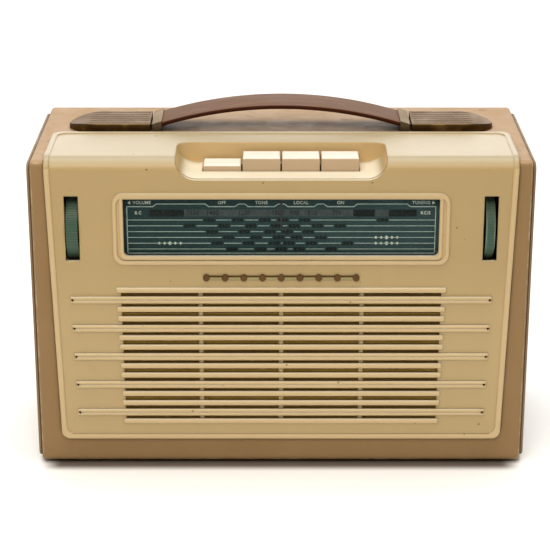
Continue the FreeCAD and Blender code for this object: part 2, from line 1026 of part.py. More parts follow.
def make_grille_cloth():
    cloth = box(
        "grille_cloth",
        ("4 - grille_half", "grille_half - 4"),
        ("front_face + skin_gap", "front_face + cloth"),
        ("grille_low + 3", "grille_high - 1.5"),
    )
    finish(cloth, "grille_cloth")


def make_dial_glass():
    body = new_body("dial_glass")
    flange = new_sketch(body, "XZ_Plane", "front_face")
    draw_rectangle(flange, "-glass_half", "glass_half", "glass_low", "glass_high")
    pad(body, flange, "glass_back - front_face")
    raised = new_sketch(body, "XZ_Plane", "glass_front")
    draw_rectangle(
        raised,
        "glass_gap - dial_half",
        "dial_half - glass_gap",
        "dial_low + glass_gap",
        "dial_high - glass_gap",
    )
    pad(body, raised, "front_face - glass_front")
    low = value("dial_low")
    face = value("front_face")
    round_edges(
        body,
        "dial_corner",
        lambda along, middle: abs(along.y) > 0.99 and middle.z < low + 1 and middle.y < face,
    )
    finish(body, "dial_glass")


def make_dial_scale():
    """The printed plate, with its ends folded back to the chassis plate."""
    body = new_body("dial_scale")
    back = "front_face + cloth + baffle"
    sketch = new_sketch(body, "XY_Plane", "scale_low")
    draw_outline(
        sketch,
        [
            ("-scale_half", back),
            ("-scale_half", "scale_front"),
            ("scale_half", "scale_front"),
            ("scale_half", back),
            ("scale_half - scale_sheet", back),
            ("scale_half - scale_sheet", "scale_front + scale_sheet"),
            ("scale_sheet - scale_half", "scale_front + scale_sheet"),
            ("scale_sheet - scale_half", back),
        ],
    )
    pad(body, sketch, "scale_high - scale_low")
    finish(body, "dial_scale")


# ---------------------------------------------------------------- keys

KEYS = {"key_off": -1.5, "key_tone": -0.5, "key_local": 0.5, "key_on": 1.5}


def make_key(node, place):
    """A moulded key: a cap, a stem, and a rocker peg or a spring collar on the stem."""
    centre = f"({place} * key_pitch)"
    drop = "key_travel" if node == "key_off" else "0"
    latched = node in ("key_off", "key_on")
    body = new_body(node)
    cap = new_sketch(body, "XY_Plane", f"key_top - key_height - {drop}")
    draw_rectangle(
        cap, f"{centre} - key_width / 2", f"{centre} + key_width / 2", "key_front", "key_back"
    )
    pad(body, cap, "key_height")
    top = value(f"key_top - {drop}")
    round_edges(body, "key_round", lambda along, middle: middle.z > top - 0.01)
    stem = new_sketch(body, "XY_Plane", f"stem_low - {drop}")
    draw_rectangle(
        stem,
        f"{centre} - stem_width / 2",
        f"{centre} + stem_width / 2",
        "stem_y - stem_thick / 2",
        "stem_y + stem_thick / 2",
    )
    pad(body, stem, "key_top - key_height - stem_low + 1")
    if latched:
        peg = new_sketch(body, "XZ_Plane", "stem_y")
        draw_circle(peg, centre, f"peg_level - {drop}", "peg_radius")
        pad(body, peg, "peg_back - stem_y")
    else:
        collar = new_sketch(body, "XY_Plane", "collar_level")
        draw_circle(collar, centre, "stem_y", "collar_radius")
        pad(body, collar, "collar_thick")
    finish(body, node)


def make_key_frame():
    """The folded channel that guides the stems, with end plates and the rocker's stud."""
    body = new_body("key_frame")
    channel = new_sketch(body, "YZ_Plane", "-frame_half")
    draw_outline(
        channel,
        [
            ("frame_back", "frame_low"),
            ("frame_back", "frame_high"),
            ("frame_front", "frame_high"),
            ("frame_front", "frame_high - frame_sheet"),
            ("frame_back - frame_sheet", "frame_high - frame_sheet"),
            ("frame_back - frame_sheet", "frame_low + frame_sheet"),
            ("frame_front", "frame_low + frame_sheet"),
            ("frame_front", "frame_low"),
        ],
    )
    pad(body, channel, "2 * frame_half")
    slots = new_sketch(body, "XY_Plane")
    for place in KEYS.values():
        centre = f"({place} * key_pitch)"
        draw_rectangle(
            slots,
            f"{centre} - stem_width / 2 - stem_clearance",
            f"{centre} + stem_width / 2 + stem_clearance",
            "stem_y - stem_thick / 2 - stem_clearance",
            "stem_y + stem_thick / 2 + stem_clearance",
        )
    pocket(body, slots)
    for start in ("-frame_half - frame_sheet", "frame_half"):
        plate = new_sketch(body, "YZ_Plane", start)
        draw_rectangle(
            plate,
            "front_face + cloth + baffle + chassis_sheet",
            "frame_back",
            "frame_low",
            "rail_level - 4",
        )
        pad(body, plate, "frame_sheet")
    stud = new_sketch(body, "XZ_Plane", "rocker_front - 1")
    draw_circle(stud, "0", "rocker_level", "stud_radius")
    pad(body, stud, "frame_back - frame_sheet - rocker_front + 1")
    finish(body, "key_frame")


def make_interlock_rocker():
    """The bar that lifts one latched key when the other goes down; at rest it tips to the pressed key."""
    body = new_body("interlock_rocker")
    sketch = new_sketch(body, "XZ_Plane", "rocker_front")
    draw_outline(
        sketch,
        [
            ("-rocker_half", "-rocker_end"),
            ("0", "-rocker_mid"),
            ("rocker_half", "-rocker_end"),
            ("rocker_half", "rocker_end"),
            ("0", "rocker_mid"),
            ("-rocker_half", "rocker_end"),
        ],
    )
    pad(body, sketch, "rocker_thick")
    holes = new_sketch(body, "XZ_Plane", "rocker_front")
    draw_circle(holes, "0", "0", "stud_radius + running_gap")
    for side in (-1, 1):
        centre = f"({side} * 1.5 * key_pitch)"
        draw_rectangle(
            holes,
            f"{centre} - peg_slot_wide",
            f"{centre} + peg_slot_wide",
            "-peg_slot_high",
            "peg_slot_high",
        )
    pocket(body, holes)
    body.Placement.Rotation = FreeCAD.Rotation(V(0, 1, 0), -value("rocker_tilt"))
    bind(body, "Placement.Base.z", "rocker_level")
    finish(body, "interlock_rocker")


def make_key_spring(node, place):
    coil = doc.addObject("Part::Helix", node + "_path")
    bind(coil, "Pitch", "spring_height / spring_turns")
    bind(coil, "Height", "spring_height")
    bind(coil, "Radius", "spring_radius")
    for letter, text in (("x", f"{place} * key_pitch"), ("y", "stem_y"), ("z", "spring_low")):
        bind(coil, "Placement.Base." + letter, text)
    wire = doc.addObject("Part::Circle", node + "_wire")
    wire.Placement = FreeCAD.Placement(V(), FreeCAD.Rotation(V(1, 0, 0), 90))
    bind(wire, "Radius", "spring_wire")
    for letter, text in (
        ("x", f"{place} * key_pitch + spring_radius"),
        ("y", "stem_y"),
        ("z", "spring_low"),
    ):
        bind(wire, "Placement.Base." + letter, text)
    doc.recompute()
    spring = doc.addObject("Part::Sweep", node)
    spring.Sections = [wire]
    spring.Spine = (coil, ["Edge1"])
    spring.Solid = True
    spring.Frenet = True
    finish(spring, node)


# ---------------------------------------------------------------- wheels and dial drive


def add_wheel(body, side, shaft_end):
    """A ribbed thumb wheel with its hub and shaft, made about the row's X axis; side is -1 or 1."""
    near = "(slot_centre - wheel_width / 2)"
    far = "(slot_centre + wheel_width / 2)"
    profile = new_sketch(body, "XY_Plane")
    corners = [
        (shaft_end, "0"),
        (shaft_end, "shaft_radius"),
        ("hub_end", "shaft_radius"),
        ("hub_end", "hub_radius"),
        (near, "hub_radius"),
        (near, "wheel_radius - wheel_bevel"),
        (f"{near} + wheel_bevel", "wheel_radius"),
        (f"{far} - wheel_bevel", "wheel_radius"),
        (far, "wheel_radius - wheel_bevel"),
        (far, "0"),
    ]
    draw_outline(profile, [(f"{side} * {x}", y) for x, y in corners])
    turned = body.newObject("PartDesign::Revolution", body.Name + "_turned")
    turned.Profile = profile
    turned.ReferenceAxis = (plane_of(body, "X_Axis"), [""])
    turned.Angle = 360
    profile.Visibility = False
    doc.recompute()
    rib = new_sketch(body, "YZ_Plane")
    draw_circle(rib, "0", "wheel_radius", "rib_radius")
    groove = pocket(body, rib)
    ribs = body.newObject("PartDesign::PolarPattern", body.Name + "_ribs")
    ribs.Originals = [groove]
    ribs.Axis = (plane_of(body, "X_Axis"), [""])
    ribs.Angle = 360
    bind(ribs, "Occurrences", "wheel_ribs")
    body.Tip = ribs
    bind(body, "Placement.Base.y", "wheel_axis_y")
    bind(body, "Placement.Base.z", "wheel_axis_z")
    doc.recompute()


def make_wheels():
    volume = new_body("volume_wheel")
    add_wheel(volume, -1, "volume_shaft_end")
    finish(volume, "volume_wheel")
    tuning = new_body("tuning_wheel")
    add_wheel(tuning, 1, "tuning_shaft_end")
    finish(tuning, "tuning_wheel")


def make_cord_drum():
    """The brass drum on the tuning shaft: a groove for the cord and a spindle for the disc."""
    body = new_body("cord_drum")
    profile = new_sketch(body, "XY_Plane")
    draw_outline(
        profile,
        [
            ("spindle_inner", "shaft_radius"),
            ("spindle_inner", "spindle_radius"),
            ("drum_inner", "spindle_radius"),
            ("drum_inner", "drum_flange"),
            ("drum_inner + drum_rim", "drum_flange"),
            ("drum_inner + drum_rim", "drum_radius"),
            ("drum_outer - drum_rim", "drum_radius"),
            ("drum_outer - drum_rim", "drum_flange"),
            ("drum_outer", "drum_flange"),
            ("drum_outer", "shaft_radius"),
        ],
    )
    turned = body.newObject("PartDesign::Revolution", "cord_drum_turned")
    turned.Profile = profile
    turned.ReferenceAxis = (plane_of(body, "X_Axis"), [""])
    turned.Angle = 360
    profile.Visibility = False
    bind(body, "Placement.Base.y", "wheel_axis_y")
    bind(body, "Placement.Base.z", "wheel_axis_z")
    finish(body, "cord_drum")


def make_volume_pot():
    can = cylinder(
        "pot_can",
        "x",
        "pot_radius",
        "cheek_sheet - chassis_half + skin_gap",
        "wheel_axis_y",
        "wheel_axis_z",
        "chassis_half - cheek_sheet - skin_gap - pot_inner",
    )
    lugs = [
        box(
            "pot_lug",
            ("-pot_inner - 3", "-pot_inner - 2.4"),
            (f"wheel_axis_y + {place} - 1.2", f"wheel_axis_y + {place} + 1.2"),
            ("wheel_axis_z - pot_radius - 5", "wheel_axis_z - pot_radius + 3"),
        )
        for place in (-4, 0, 4)
    ]
    bore = cylinder(
        "pot_bore",
        "x",
        "shaft_radius + running_gap",
        "-chassis_half",
        "wheel_axis_y",
        "wheel_axis_z",
        "chassis_half - volume_shaft_end + 1",
    )
    finish(cut("volume_pot", fuse("pot_with_lugs", [can] + lugs), bore), "volume_pot")


def make_dial_chassis():
    """The steel plate behind the dial, with tabs, bearing cheeks for both shafts and tabs for the rail."""
    front = "(front_face + cloth + baffle)"
    back = f"({front} + chassis_sheet)"
    body = new_body("dial_chassis")
    plate = new_sketch(body, "XZ_Plane", front)
    draw_outline(
        plate,
        [
            ("-chassis_half", "chassis_low"),
            ("chassis_half", "chassis_low"),
            ("chassis_half", "chassis_high"),
            ("chassis_tab_out", "chassis_high"),
            ("chassis_tab_out", "chassis_tab_high"),
            ("chassis_tab_in", "chassis_tab_high"),
            ("chassis_tab_in", "chassis_high"),
            ("-chassis_tab_in", "chassis_high"),
            ("-chassis_tab_in", "chassis_tab_high"),
            ("-chassis_tab_out", "chassis_tab_high"),
            ("-chassis_tab_out", "chassis_high"),
            ("-chassis_half", "chassis_high"),
        ],
    )
    pad(body, plate, "chassis_sheet")
    for start in ("-chassis_half", "chassis_half - cheek_sheet"):
        cheek = new_sketch(body, "YZ_Plane", start)
        draw_rectangle(cheek, front, "cheek_back", "cheek_low", "cheek_high")
        pad(body, cheek, "cheek_sheet")
    for start in ("-rail_tab - cheek_sheet", "rail_tab"):
        tab = new_sketch(body, "YZ_Plane", start)
        draw_rectangle(tab, back, "rail_y + 2.2", "rail_level - 3", "rail_level + 2.5")
        pad(body, tab, "cheek_sheet")
    holes = new_sketch(body, "YZ_Plane")
    draw_circle(holes, "wheel_axis_y", "wheel_axis_z", "shaft_radius + running_gap")
    draw_circle(holes, "rail_y", "rail_level", "rail_radius")
    pocket(body, holes)
    finish(body, "dial_chassis")

    rail = cylinder(
        "pointer_rail", "x", "rail_radius", "-rail_half", "rail_y", "rail_level", "2 * rail_half"
    )
    finish(rail, "pointer_rail")


GUIDES = [
    (x, z)
    for x in ("cord_left + cord_bend", "cord_right - cord_bend")
    for z in ("cord_low + cord_bend", "cord_high - cord_bend")
]


def make_cord_guides():
    """Four fixed grooved posts that the drive cord slides round."""
    plate = "(front_face + cloth + baffle + chassis_sheet)"
    pieces = []
    for x, z in GUIDES:
        groove = "(rail_y - guide_groove)"
        pieces.append(cylinder("guide_post", "y", "guide_core", x, plate, z, f"rail_y + 1 - {plate}"))
        pieces.append(
            cylinder("guide_rim", "y", "guide_flange", x, f"{groove} - guide_rim", z, "guide_rim")
        )
        pieces.append(
            cylinder("guide_rim", "y", "guide_flange", x, "rail_y + guide_groove", z, "guide_rim")
        )
    finish(fuse("cord_guides", pieces), "cord_guides")


def tube(points, bends, radius):
    """A closed or open tube along straight runs joined by tangent arcs; bends gives the arc radius at each
    inner point. Returns the solid."""
    edges = []
    start = points[0]
    for index in range(1, len(points) - 1):
        corner = points[index]
        into = (corner - points[index - 1]).normalize()
        out = (points[index + 1] - corner).normalize()
        turn = into.getAngle(out)
        setback = bends[index - 1] * math.tan(turn / 2)
        arc_start = corner - into * setback
        arc_end = corner + out * setback
        inward = (out - into).normalize()
        centre_way = bends[index - 1] / math.cos(turn / 2)
        arc_middle = corner + inward * (centre_way - bends[index - 1])
        if (arc_start - start).Length > 1e-6:
            edges.append(Part.LineSegment(start, arc_start).toShape())
        edges.append(Part.Arc(arc_start, arc_middle, arc_end).toShape())
        start = arc_end
    edges.append(Part.LineSegment(start, points[-1]).toShape())
    spine = Part.Wire(edges)
    direction = (points[1] - points[0]).normalize()
    section = Part.Wire([Part.Circle(points[0], direction, radius).toShape()])
    pipe = spine.makePipeShell([section], True, False)
    length = sum(edge.Length for edge in edges)
    print(f"tube length {length:.1f} mm, volume ratio {pipe.Volume / (math.pi * radius**2 * length):.3f}")
    return pipe


def make_drive_cord():
    """The drive cord: a loop round the guides that takes one turn on the drum."""
    y = value("rail_y")
    left, right = value("cord_left"), value("cord_right")
    low, high = value("cord_low"), value("cord_high")
    middle = value("wheel_axis_z")
    radius = value("cord_radius")
    corners = [
        V(right, y, middle),
        V(right, y, high),
        V(left, y, high),
        V(left, y, low),
        V(right, y, low),
        V(right, y, middle),
    ]
    loop = tube(corners, [value("cord_bend")] * 4, radius)
    turn_centre = V(right - value("cord_turn_shift"), value("wheel_axis_y"), middle)
    turn = Part.makeTorus(turn_centre.y - y, radius, turn_centre, V(1, 0, 0))
    cord = doc.addObject("Part::Feature", "drive_cord")
    cord.Shape = Part.makeCompound([loop, turn])
    cord.Placement = FreeCAD.Placement()
    finish(cord, "drive_cord")


def make_pointer():
    """The carriage on the rail and cord, with an arm over the plates to the blade in front of the scale."""
    blade_back = "(blade_front + blade_thick)"
    arm_high = "(arm_low + arm_thick)"
    carriage = box(
        "carriage_block",
        ("-carriage_half", "carriage_half"),
        ("carriage_front", "carriage_back"),
        ("carriage_low", "carriage_high"),
    )
    neck = box("pointer_neck", ("-2", "2"), ("carriage_front", "rail_y"), ("carriage_high", arm_high))
    arm = box("pointer_arm", ("-2", "2"), ("blade_front", "carriage_front"), ("arm_low", arm_high))
    blade = box(
        "pointer_blade", ("-blade_half", "blade_half"), ("blade_front", blade_back), ("blade_low", arm_high)
    )
    long_way = ("-carriage_half - 1", "2 * carriage_half + 2")
    rail_hole = cylinder(
        "carriage_bore",
        "x",
        "rail_radius + running_gap",
        long_way[0],
        "rail_y",
        "rail_level",
        long_way[1],
    )
    cord_hole = cylinder(
        "carriage_eye", "x", "2 * cord_radius", long_way[0], "rail_y", "cord_high", long_way[1]
    )
    holes = fuse("carriage_holes", [rail_hole, cord_hole])
    finish(cut("pointer", fuse("pointer_solid", [carriage, neck, arm, blade]), holes), "pointer")


def make_gang():
    """The tuning capacitor: a frame with fixed vanes, a rotor with half-disc vanes, and the drive disc."""
    low = "(wheel_axis_z - gang_half - 1)"
    high = "(wheel_axis_z + gang_half + 1)"
    front = "(gang_y - gang_half)"
    back = "(gang_y + gang_half)"
    plate = "(front_face + cloth + baffle + chassis_sheet)"
    pieces = []
    for start in ("gang_inner", "gang_outer - gang_sheet"):
        pieces.append(box("gang_end", (start, f"{start} + gang_sheet"), (front, back), (low, high)))
        pieces.append(
            box("gang_arm", (start, f"{start} + gang_sheet"), (plate, front), (low, f"{low} + gang_reach"))
        )
    pieces.append(box("gang_base", ("gang_inner", "gang_outer"), (front, back), (low, f"{low} + 1.2")))
    for y in (front, f"{back} - gang_bar"):
        pieces.append(
            box(
                "gang_tie",
                ("gang_inner", "gang_outer"),
                (y, f"{y} + gang_bar"),
                (f"{high} - gang_bar", high),
            )
        )
    for index in range(int(value("vane_count"))):
        x = f"(vane_start + {index} * vane_pitch)"
        pieces.append(
            box("stator_vane", (x, f"{x} + vane"), (front, back), ("wheel_axis_z + 4", high))
        )
    shaft_hole = cylinder(
        "gang_bore",
        "x",
        "rotor_shaft + running_gap",
        "gang_inner - 1",
        "gang_y",
        "wheel_axis_z",
        "gang_outer - gang_inner + 2",
    )
    finish(cut("gang_frame", fuse("gang_solid", pieces), shaft_hole), "gang_frame")

    shaft_start = "gang_inner - 2"
    vanes = []
    for index in range(int(value("vane_count")) - 1):
        x = f"vane_start + ({index} + 0.5) * vane_pitch"
        vane = cylinder("rotor_vane", "x", "rotor_radius", x, "gang_y", "wheel_axis_z", "vane")
        vane.Angle = 180
        vanes.append(vane)
    shaft = cylinder(
        "rotor_rod", "x", "rotor_shaft", shaft_start, "gang_y", "wheel_axis_z", f"disc_inner - {shaft_start}"
    )
    finish(fuse("gang_rotor", [shaft] + vanes), "gang_rotor")
    disc = cylinder(
        "disc_blank", "x", "disc_radius", "disc_inner", "gang_y", "wheel_axis_z", "disc_thick"
    )
    hub = cylinder("disc_hub", "x", "hub_radius", "disc_inner", "gang_y", "wheel_axis_z", "2 * disc_thick")
    finish(fuse("drive_disc", [disc, hub]), "drive_disc")


# ---------------------------------------------------------------- loudspeaker


def ellipse(name, wide, high, y):
    """An ellipse that faces the front, centred on the loudspeaker's axis."""
    curve = doc.addObject("Part::Ellipse", name)
    curve.Placement = FreeCAD.Placement(V(), FACING["y"])
    bind(curve, "MajorRadius", wide)
    bind(curve, "MinorRadius", high)
    bind(curve, "Placement.Base.y", y)
    bind(curve, "Placement.Base.z", "speaker_level")
    return curve


def loft(name, first, last):
    solid = doc.addObject("Part::Loft", name)
    solid.Sections = [first, last]
    solid.Solid = True
    solid.Ruled = True
    return solid


def ellipse_prism():
    return loft(
        "speaker_opening",
        ellipse("opening_front", "opening_wide", "opening_high", "front_face - 1"),
        ellipse("opening_back", "opening_wide", "opening_high", "front_face + cloth + baffle + 1"),
    )


def screw_shanks(name):
    start = "front_face + cloth + 2"
    shanks = []
    for side_x in (-1, 1):
        for side_z in (-1, 1):
            shanks.append(
                cylinder(
                    name + "_shank",
                    "y",
                    "screw_shank",
                    f"{side_x} * screw_x",
                    start,
                    f"speaker_level + {side_z} * screw_z",
                    f"baffle + flange_thick - 2",
                )
            )
    return fuse(name, shanks)


def make_loudspeaker():
    face = "(front_face + cloth + baffle)"
    rim = f"({face} + flange_thick)"
    mouth_wide, mouth_high = "(opening_wide + mouth_margin)", "(opening_high + mouth_margin)"
    neck = "(basket_neck - basket_wall)"
    flange = loft(
        "flange_blank",
        ellipse("flange_front", "flange_wide", "flange_high", face),
        ellipse("flange_back", "flange_wide", "flange_high", rim),
    )
    outer = loft(
        "basket_outer",
        ellipse("basket_mouth", mouth_wide, mouth_high, face),
        ellipse("basket_end", "basket_neck + ellipse_slack", "basket_neck", "basket_back"),
    )
    inner = loft(
        "basket_inner",
        ellipse(
            "basket_hollow_mouth",
            f"{mouth_wide} - basket_wall",
            f"{mouth_high} - basket_wall",
            f"{face} - 1",
        ),
        ellipse("basket_hollow_end", f"{neck} + ellipse_slack", neck, "basket_back - 2"),
    )
    windows = [
        box(
            "basket_window",
            (f"{side} * 38 - 15", f"{side} * 38 + 15"),
            (f"{rim} + 4", "basket_back - 5"),
            ("speaker_level - 60", "speaker_level + 60"),
        )
        for side in (-1, 1)
    ]
    frame = fuse("basket_solid", [flange, outer])
    hollow = fuse("basket_tools", [inner, screw_shanks("flange_holes")] + windows)
    finish(cut("speaker_basket", frame, hollow), "speaker_basket")

    magnet = cylinder(
        "magnet_ring", "y", "magnet_radius", "0", "basket_back", "speaker_level", "magnet_back - basket_back"
    )
    yoke = cylinder(
        "magnet_yoke", "y", "yoke_radius", "0", "magnet_back", "speaker_level", "yoke_back - magnet_back"
    )
    finish(fuse("speaker_magnet", [magnet, yoke]), "speaker_magnet")

    cone_face = f"({face} + skin_gap)"
    cone_outer = loft(
        "cone_outer",
        ellipse("cone_mouth", "opening_wide", "opening_high", cone_face),
        ellipse("cone_end", "cone_neck + ellipse_slack", "cone_neck", "cone_back"),
    )
    cone_inner = loft(
        "cone_inner",
        ellipse("cone_hollow_mouth", "opening_wide - cone_wall", "opening_high - cone_wall", cone_face),
        ellipse(
            "cone_hollow_end",
            "cone_neck - cone_wall + ellipse_slack",
            "cone_neck - cone_wall",
            "cone_back",
        ),
    )
    finish(cut("speaker_cone", cone_outer, cone_inner), "speaker_cone")

    dome = doc.addObject("Part::Sphere", "dust_cap")
    dome.Placement = FreeCAD.Placement(V(), FreeCAD.Rotation(V(1, 0, 0), 90))
    dome.Angle1 = 42
    bind(dome, "Radius", "cap_radius")
    bind(dome, "Placement.Base.y", "cone_back + cap_radius - 4")
    bind(dome, "Placement.Base.z", "speaker_level")
    finish(dome, "dust_cap")

    heads = []
    for side_x in (-1, 1):
        for side_z in (-1, 1):
            heads.append(
                cylinder(
                    "speaker_screw_head",
                    "y",
                    "screw_head",
                    f"{side_x} * screw_x",
                    rim,
                    f"speaker_level + {side_z} * screw_z",
                    "2",
                )
            )
    finish(fuse("speaker_screws", [screw_shanks("speaker_screw_shanks")] + heads), "speaker_screws")


# ---------------------------------------------------------------- electronics

CARD_BACK = "(card_front + card_thick)"


def along_x(name, radius, x, z, length):
    """A round part that lies along X on the card's rear face."""
    return cylinder(name, "x", radius, x, f"{CARD_BACK} + {radius}", z, length)


def make_circuit_board():
    card = box(
        "card_blank",
        ("card_left", "card_right"),
        ("card_front", CARD_BACK),
        ("card_low", "card_high"),
    )
    finish(rounded("circuit_board", card, "3", runs_along("y")), "circuit_board")
    floor = "(base_level + cloth + board)"
    pieces = []
    for x in ("card_left + 8", "card_right - 18"):
        upright = box(
            "bracket_upright",
            (x, f"{x} + bracket_width"),
            ("card_front - bracket_sheet", "card_front"),
            (floor, "bracket_high"),
        )
        foot = box(
            "bracket_foot",
            (x, f"{x} + bracket_width"),
            ("card_front - bracket_foot", "card_front"),
            (floor, f"{floor} + bracket_sheet"),
        )
        pieces += [upright, foot]
    finish(fuse("board_brackets", pieces), "board_brackets")


def make_components():
    """The groups of parts on the card, each laid out in a loop along the signal path."""
    cans = []
    for index in range(4):
        x = f"-30 + {index} * 34"
        can = box("if_can_blank", (x, f"{x} + 10.5"), (CARD_BACK, f"{CARD_BACK} + 16"), ("100", "110.5"))
        cans.append(rounded("if_can", can, "1", runs_along("y")))
    finish(fuse("if_cans", cans), "if_cans")

    transistors = []
    for index in range(7):
        x = f"-40 + {index} * 21"
        z = "88" if index % 2 else "80"
        transistors.append(cylinder("transistor", "y", "3.1", x, CARD_BACK, z, "9"))
    finish(fuse("transistors", transistors), "transistors")

    capacitors = []
    for index in range(5):
        x = f"-46 + {index} * 27"
        radius = "4.5" if index % 2 else "3.5"
        capacitors.append(along_x("capacitor", radius, x, "66", "20"))
    capacitors.append(along_x("capacitor", "7", "86", "46", "34"))
    finish(fuse("capacitors", capacitors), "capacitors")

    resistors = []
    for index in range(14):
        x = f"-47 + {index} * 12"
        z = "96" if index % 2 else "73.5"
        resistors.append(along_x("resistor", "1.5", x, z, "7.5"))
    finish(fuse("resistors", resistors), "resistors")

    for node, x, size in (("driver_transformer", "-36", 24), ("output_transformer", "20", 32)):
        back = f"{CARD_BACK} + {size * 0.6}"
        core = box(
            node + "_core", (x, f"{x} + {size}"), (CARD_BACK, back), ("28", f"28 + {size * 0.8}")
        )
        winding = box(
            node + "_winding",
            (f"{x} + {size * 0.2}", f"{x} + {size * 0.8}"),
            (CARD_BACK, f"{back} + {size * 0.14}"),
            (f"28 + {size * 0.16}", f"28 + {size * 0.64}"),
        )
        winding = rounded(node + "_winding_round", winding, "2", runs_along("z"))
        finish(fuse(node, [core, winding]), node)


def make_aerial():
    rod = cylinder("ferrite_rod", "x", "rod_radius", "-rod_half", "rod_y", "rod_level", "2 * rod_half")
    finish(rod, "ferrite_rod")
    coils, clips = [], []
    for side in (-1, 1):
        start = f"{side} * coil_centre - coil_length / 2"
        wound = cylinder("coil_former", "x", "coil_radius", start, "rod_y", "rod_level", "coil_length")
        hollow = cylinder("coil_bore", "x", "rod_radius", start, "rod_y", "rod_level", "coil_length")
        coils.append(cut("aerial_coil", wound, hollow))
        middle = f"{side} * clip_centre"
        clip = box(
            "clip_block",
            (f"{middle} - clip_width / 2", f"{middle} + clip_width / 2"),
            ("rod_y - clip_half", "rod_y + clip_half"),
            ("rod_level - clip_drop", "top_level - cloth - board"),
        )
        bore = cylinder(
            "clip_bore", "x", "rod_radius", f"{middle} - clip_width", "rod_y", "rod_level", "2 * clip_width"
        )
        clips.append(cut("rod_clip", clip, bore))
    finish(fuse("aerial_coils", coils), "aerial_coils")
    finish(fuse("rod_clips", clips), "rod_clips")


def make_battery():
    top = "(cell_low + cell_high)"
    case = box(
        "battery_case",
        ("cell_left", "cell_left + cell_wide"),
        ("cell_front", "cell_front + cell_deep"),
        ("cell_low", top),
    )
    case = rounded("battery_case_round", case, "cell_round", runs_along("z"))
    stubs = [
        cylinder(
            "terminal", "z", "terminal_radius", "cell_left + cell_wide / 2", y, top, "terminal_height"
        )
        for y in ("cell_front + 8", "cell_front + cell_deep - 8")
    ]
    finish(fuse("battery", [case] + stubs), "battery")

    wall = "(cell_left + cell_wide + 3)"
    over = f"({top} + terminal_height + 2)"
    across_y = ("clamp_front", "clamp_front + clamp_wide")
    floor = "(base_level + cloth + board)"
    pieces = [
        box(
            "clamp_bridge",
            ("-(body_half - cloth - board)", f"{wall} + clamp_sheet"),
            across_y,
            (over, f"{over} + clamp_sheet"),
        ),
        box("clamp_leg", (wall, f"{wall} + clamp_sheet"), across_y, (floor, over)),
    ]
    finish(fuse("battery_clamp", pieces), "battery_clamp")

    leads = []
    radius = value("lead_radius")
    level = value(f"{top} + terminal_height")
    middle = value("cell_left + cell_wide / 2")
    card = value("card_front")
    near, far = value("cell_front + 8"), value("cell_front + cell_deep - 8")
    routes = [
        [
            V(middle, near, level + 2),
            V(middle, near, level + 13),
            V(-50, 8, level + 10),
            V(-38, 3, level + 4),
        ],
        [
            V(middle, far, level + 2),
            V(middle, far, level + 18),
            V(-72, 18, level + 16),
            V(-34, 2, level + 12),
        ],
    ]
    for route in routes:
        y = route[0].y
        route.append(V(route[-1].x + 4, card, route[-1].z - 2))
        wire = tube(route, [4, 9, 6], radius)
        snap = Part.makeCylinder(value("terminal_radius") + 1, 2, V(middle, y, level))
        leads.append(wire.fuse(snap))
    node = doc.addObject("Part::Feature", "battery_leads")
    node.Shape = Part.makeCompound(leads)
    node.Placement = FreeCAD.Placement()
    finish(node, "battery_leads")


# ---------------------------------------------------------------- handle


def make_end_cap(node, side):
    """A brass cap: bullet-shaped with a domed nose and ribs, hollow below for the strap's cross-bar."""
    body = new_body(node)
    sketch = new_sketch(body, "XY_Plane", "top_level")
    front, back = "strap_y - cap_half", "strap_y + cap_half"
    corners = [
        ("cap_inner", front),
        ("cap_straight", front, "cap_arc", 1),
        ("cap_nose", "strap_y", "cap_arc", 1),
        ("cap_straight", back),
        ("cap_inner", back),
    ]
    if side < 0:
        corners = [
            ("-cap_inner", back),
            ("-cap_straight", back, "cap_arc", 1),
            ("-cap_nose", "strap_y", "cap_arc", 1),
            ("-cap_straight", front),
            ("-cap_inner", front),
        ]
    draw_outline(sketch, corners)
    pad(body, sketch, "cap_height")
    nose = value("cap_nose")
    round_edges(
        body,
        "cap_nose_round",
        lambda along, middle: abs(along.z) > 0.99 and abs(abs(middle.x) - nose) < 0.1,
    )
    crest = "(top_level + cap_height)"
    dome = new_sketch(body, "XZ_Plane")
    corners = [
        ("cap_straight", crest, "cap_dome_arc", -1),
        ("cap_nose + 1", f"{crest} - cap_dome_drop"),
        ("cap_nose + 1", f"{crest} + 1"),
        ("cap_straight", f"{crest} + 1"),
    ]
    if side < 0:
        corners = [
            ("-(cap_nose + 1)", f"{crest} - cap_dome_drop", "cap_dome_arc", -1),
            ("-cap_straight", crest),
            ("-cap_straight", f"{crest} + 1"),
            ("-(cap_nose + 1)", f"{crest} + 1"),
        ]
    draw_outline(dome, corners)
    pocket(body, dome)
    upper = value("top_level") + 1.5
    round_edges(body, "cap_edge", lambda along, middle: middle.z > upper and abs(along.x) > 0.99)
    cavity = new_sketch(body, "XY_Plane", "top_level")
    ends = sorted((f"{side} * (cap_inner + cap_wall)", f"{side} * cavity_end"), key=value)
    draw_rectangle(cavity, ends[0], ends[1], "strap_y - cavity_half", "strap_y + cavity_half")
    pocket(body, cavity, "cavity_height")
    mouth = new_sketch(body, "XY_Plane", "top_level")
    ends = sorted((f"{side} * (cap_inner - 1)", f"{side} * (cap_inner + cap_wall + 1)"), key=value)
    draw_rectangle(
        mouth, ends[0], ends[1], "strap_y - tongue_half - 0.8", "strap_y + tongue_half + 0.8"
    )
    pocket(body, mouth, "cavity_height")
    grooves = new_sketch(body, "XY_Plane", "top_level + cap_height - cap_groove_depth")
    ends = sorted((f"{side} * (cap_inner + 1.2)", f"{side} * (cap_nose - 9)"), key=value)
    for row in (-2.5, -1.5, -0.5, 0.5, 1.5, 2.5):
        middle = f"(strap_y + {row} * cap_groove_pitch)"
        draw_rectangle(grooves, ends[0], ends[1], f"{middle} - cap_groove", f"{middle} + cap_groove")
    pocket(body, grooves, "cap_groove_depth + 1")
    finish(body, node)


